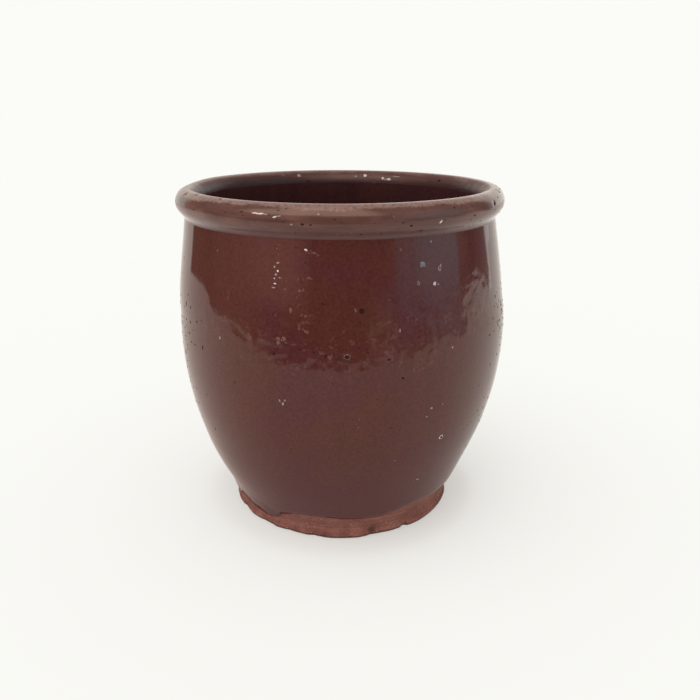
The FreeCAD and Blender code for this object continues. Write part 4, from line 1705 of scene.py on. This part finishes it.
# %% Chips, nicks and painted glints on the rim
# Most of the white, pale and pink dashes from -26 to -15 degrees, 155 to 157 mm high, are painted
# highlights on the roll of the rim.
rim_marks = whole([
    (-25.4, 156.5, 3.0, 0.6, 0, "white"), (-23.6, 156.4, 3.4, 0.8, 3, "white"),
    (-22.0, 156.3, 2.4, 0.6, -6, "pale"), (-18.9, 155.4, 2.2, 0.7, 18, "white"),
    (-17.6, 155.9, 1.8, 0.6, 12, "pale"), (-16.6, 156.0, 0.8, 0.6, 0, "pink"),
    (-15.4, 155.7, 0.7, 0.7, 0, "pink"), (-6.2, 157.1, 1.0, 1.0, 0, "pale"),
    (-14.0, 152.4, 1.0, 0.9, 0, "pale"), (-25.8, 151.5, 1.1, 1.0, 0, "pink"),
    (30.9, 151.8, 0.9, 1.9, -25, "white"), (-34.4, 152.2, 1.9, 0.8, 35, "pink"),
    (-1.0, 148.1, 0.6, 0.6, 0, "pink"), (-40.7, 152.6, 0.7, 0.7, 0, "pink"),
    (35.3, 152.9, 0.9, 0.8, 0, "pink"), (44.2, 150.8, 0.8, 1.4, -15, "pink"),
    (15.4, 155.4, 0.6, 1.4, 0, "pink"), (-9.3, 156.0, 0.6, 0.6, 0, "pink"),
    (3.2, 148.6, 0.6, 0.6, 0, "pink"), (-62.4, 159.5, 1.6, 1.0, 20, "dark"),
    (-54.3, 159.9, 1.8, 0.7, 30, "dark"), (-40.4, 159.9, 2.2, 0.7, 15, "dark"),
    (77.8, 159.8, 3.4, 0.8, 10, "dark"), (71.1, 159.6, 2.8, 0.7, -20, "dark"),
    (-10.8, 152.6, 1.7, 1.1, 0, "dark"), (-8.4, 152.4, 1.2, 0.8, 0, "dark"),
    (9.2, 153.8, 1.3, 0.8, 0, "dark"), (20.8, 151.1, 1.6, 1.0, 0, "dark"),
    (45.4, 152.7, 1.4, 0.8, 0, "dark"), (6.1, 148.1, 1.0, 0.7, 0, "dark"),
    (58.8, 156.1, 1.4, 1.2, 0, "dark"), (64.0, 158.4, 1.2, 1.0, 0, "dark"),
])
drawn_rim_marks = 70
for _ in range(drawn_rim_marks):
    angle, size = chance.uniform(-180.0, 180.0), chance.uniform(0.4, 0.9)
    height, width = chance.uniform(148.0, 159.8), size * chance.uniform(1.0, 2.4)
    turn, kind = chance.uniform(-25.0, 25.0), chance.choice(("dark", "pit", "pit", "pink", "pale"))
    rim_marks.append((angle, height, width, size, turn, kind, 0.0))
rim_chips = laid("rim_chips", rim_marks, rim, rim_outer_radius)
lip_marks = whole([
    (172.5, 157.4, 1.4, 1.6, 0, "pale"), (169.8, 158.2, 2.6, 1.0, 0, "pink"),
    (168.2, 157.9, 2.2, 2.0, 0, "white"), (165.6, 158.0, 2.2, 1.0, 0, "haze"),
    (159.1, 156.5, 1.6, 1.8, 0, "white"), (157.6, 156.0, 2.2, 1.2, 0, "pale"),
    (156.0, 156.1, 2.6, 1.6, 0, "white"), (152.4, 157.9, 4.6, 0.9, 0, "pale"),
    (-159.9, 158.3, 2.2, 2.4, 0, "pale"), (-152.0, 158.6, 3.0, 1.2, 0, "pink"),
    (-121.0, 157.0, 1.6, 1.2, 0, "pink"), (128.0, 157.4, 1.8, 1.4, 0, "dark"),
    (163.0, 153.8, 2.2, 1.8, 0, "haze"), (149.5, 154.6, 1.6, 1.8, 0, "haze"),
])
lip_chips = laid("lip_chips", lip_marks, rim, rim_inner_radius, clear=-1.0)

for helper in [outside_section, rim_section, inner_section, clay_section] + helpers:
    bpy.data.objects.remove(helper)

# %% [markdown]
# ## Which body each piece follows
#
# The pot has no moving part, so every piece rides on its one body. Each coat and the clay stand in for
# their own solid in the model, and the marks lie on the coats.

# %% Bodies
for piece, node, slot in (
    (clay, "clay_body", "red_clay"),
    (outer, "outer_glaze", "brown_glaze"),
    (rim, "rim_glaze", "worn_rim_glaze"),
    (inner, "inner_glaze", "inner_glaze"),
    (wall_bubbles_and_glints, None, "brown_glaze"),
    (rim_chips, None, "worn_rim_glaze"),
    (lip_chips, None, "worn_rim_glaze"),
):
    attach(piece, "root")
    if node:
        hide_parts(node)
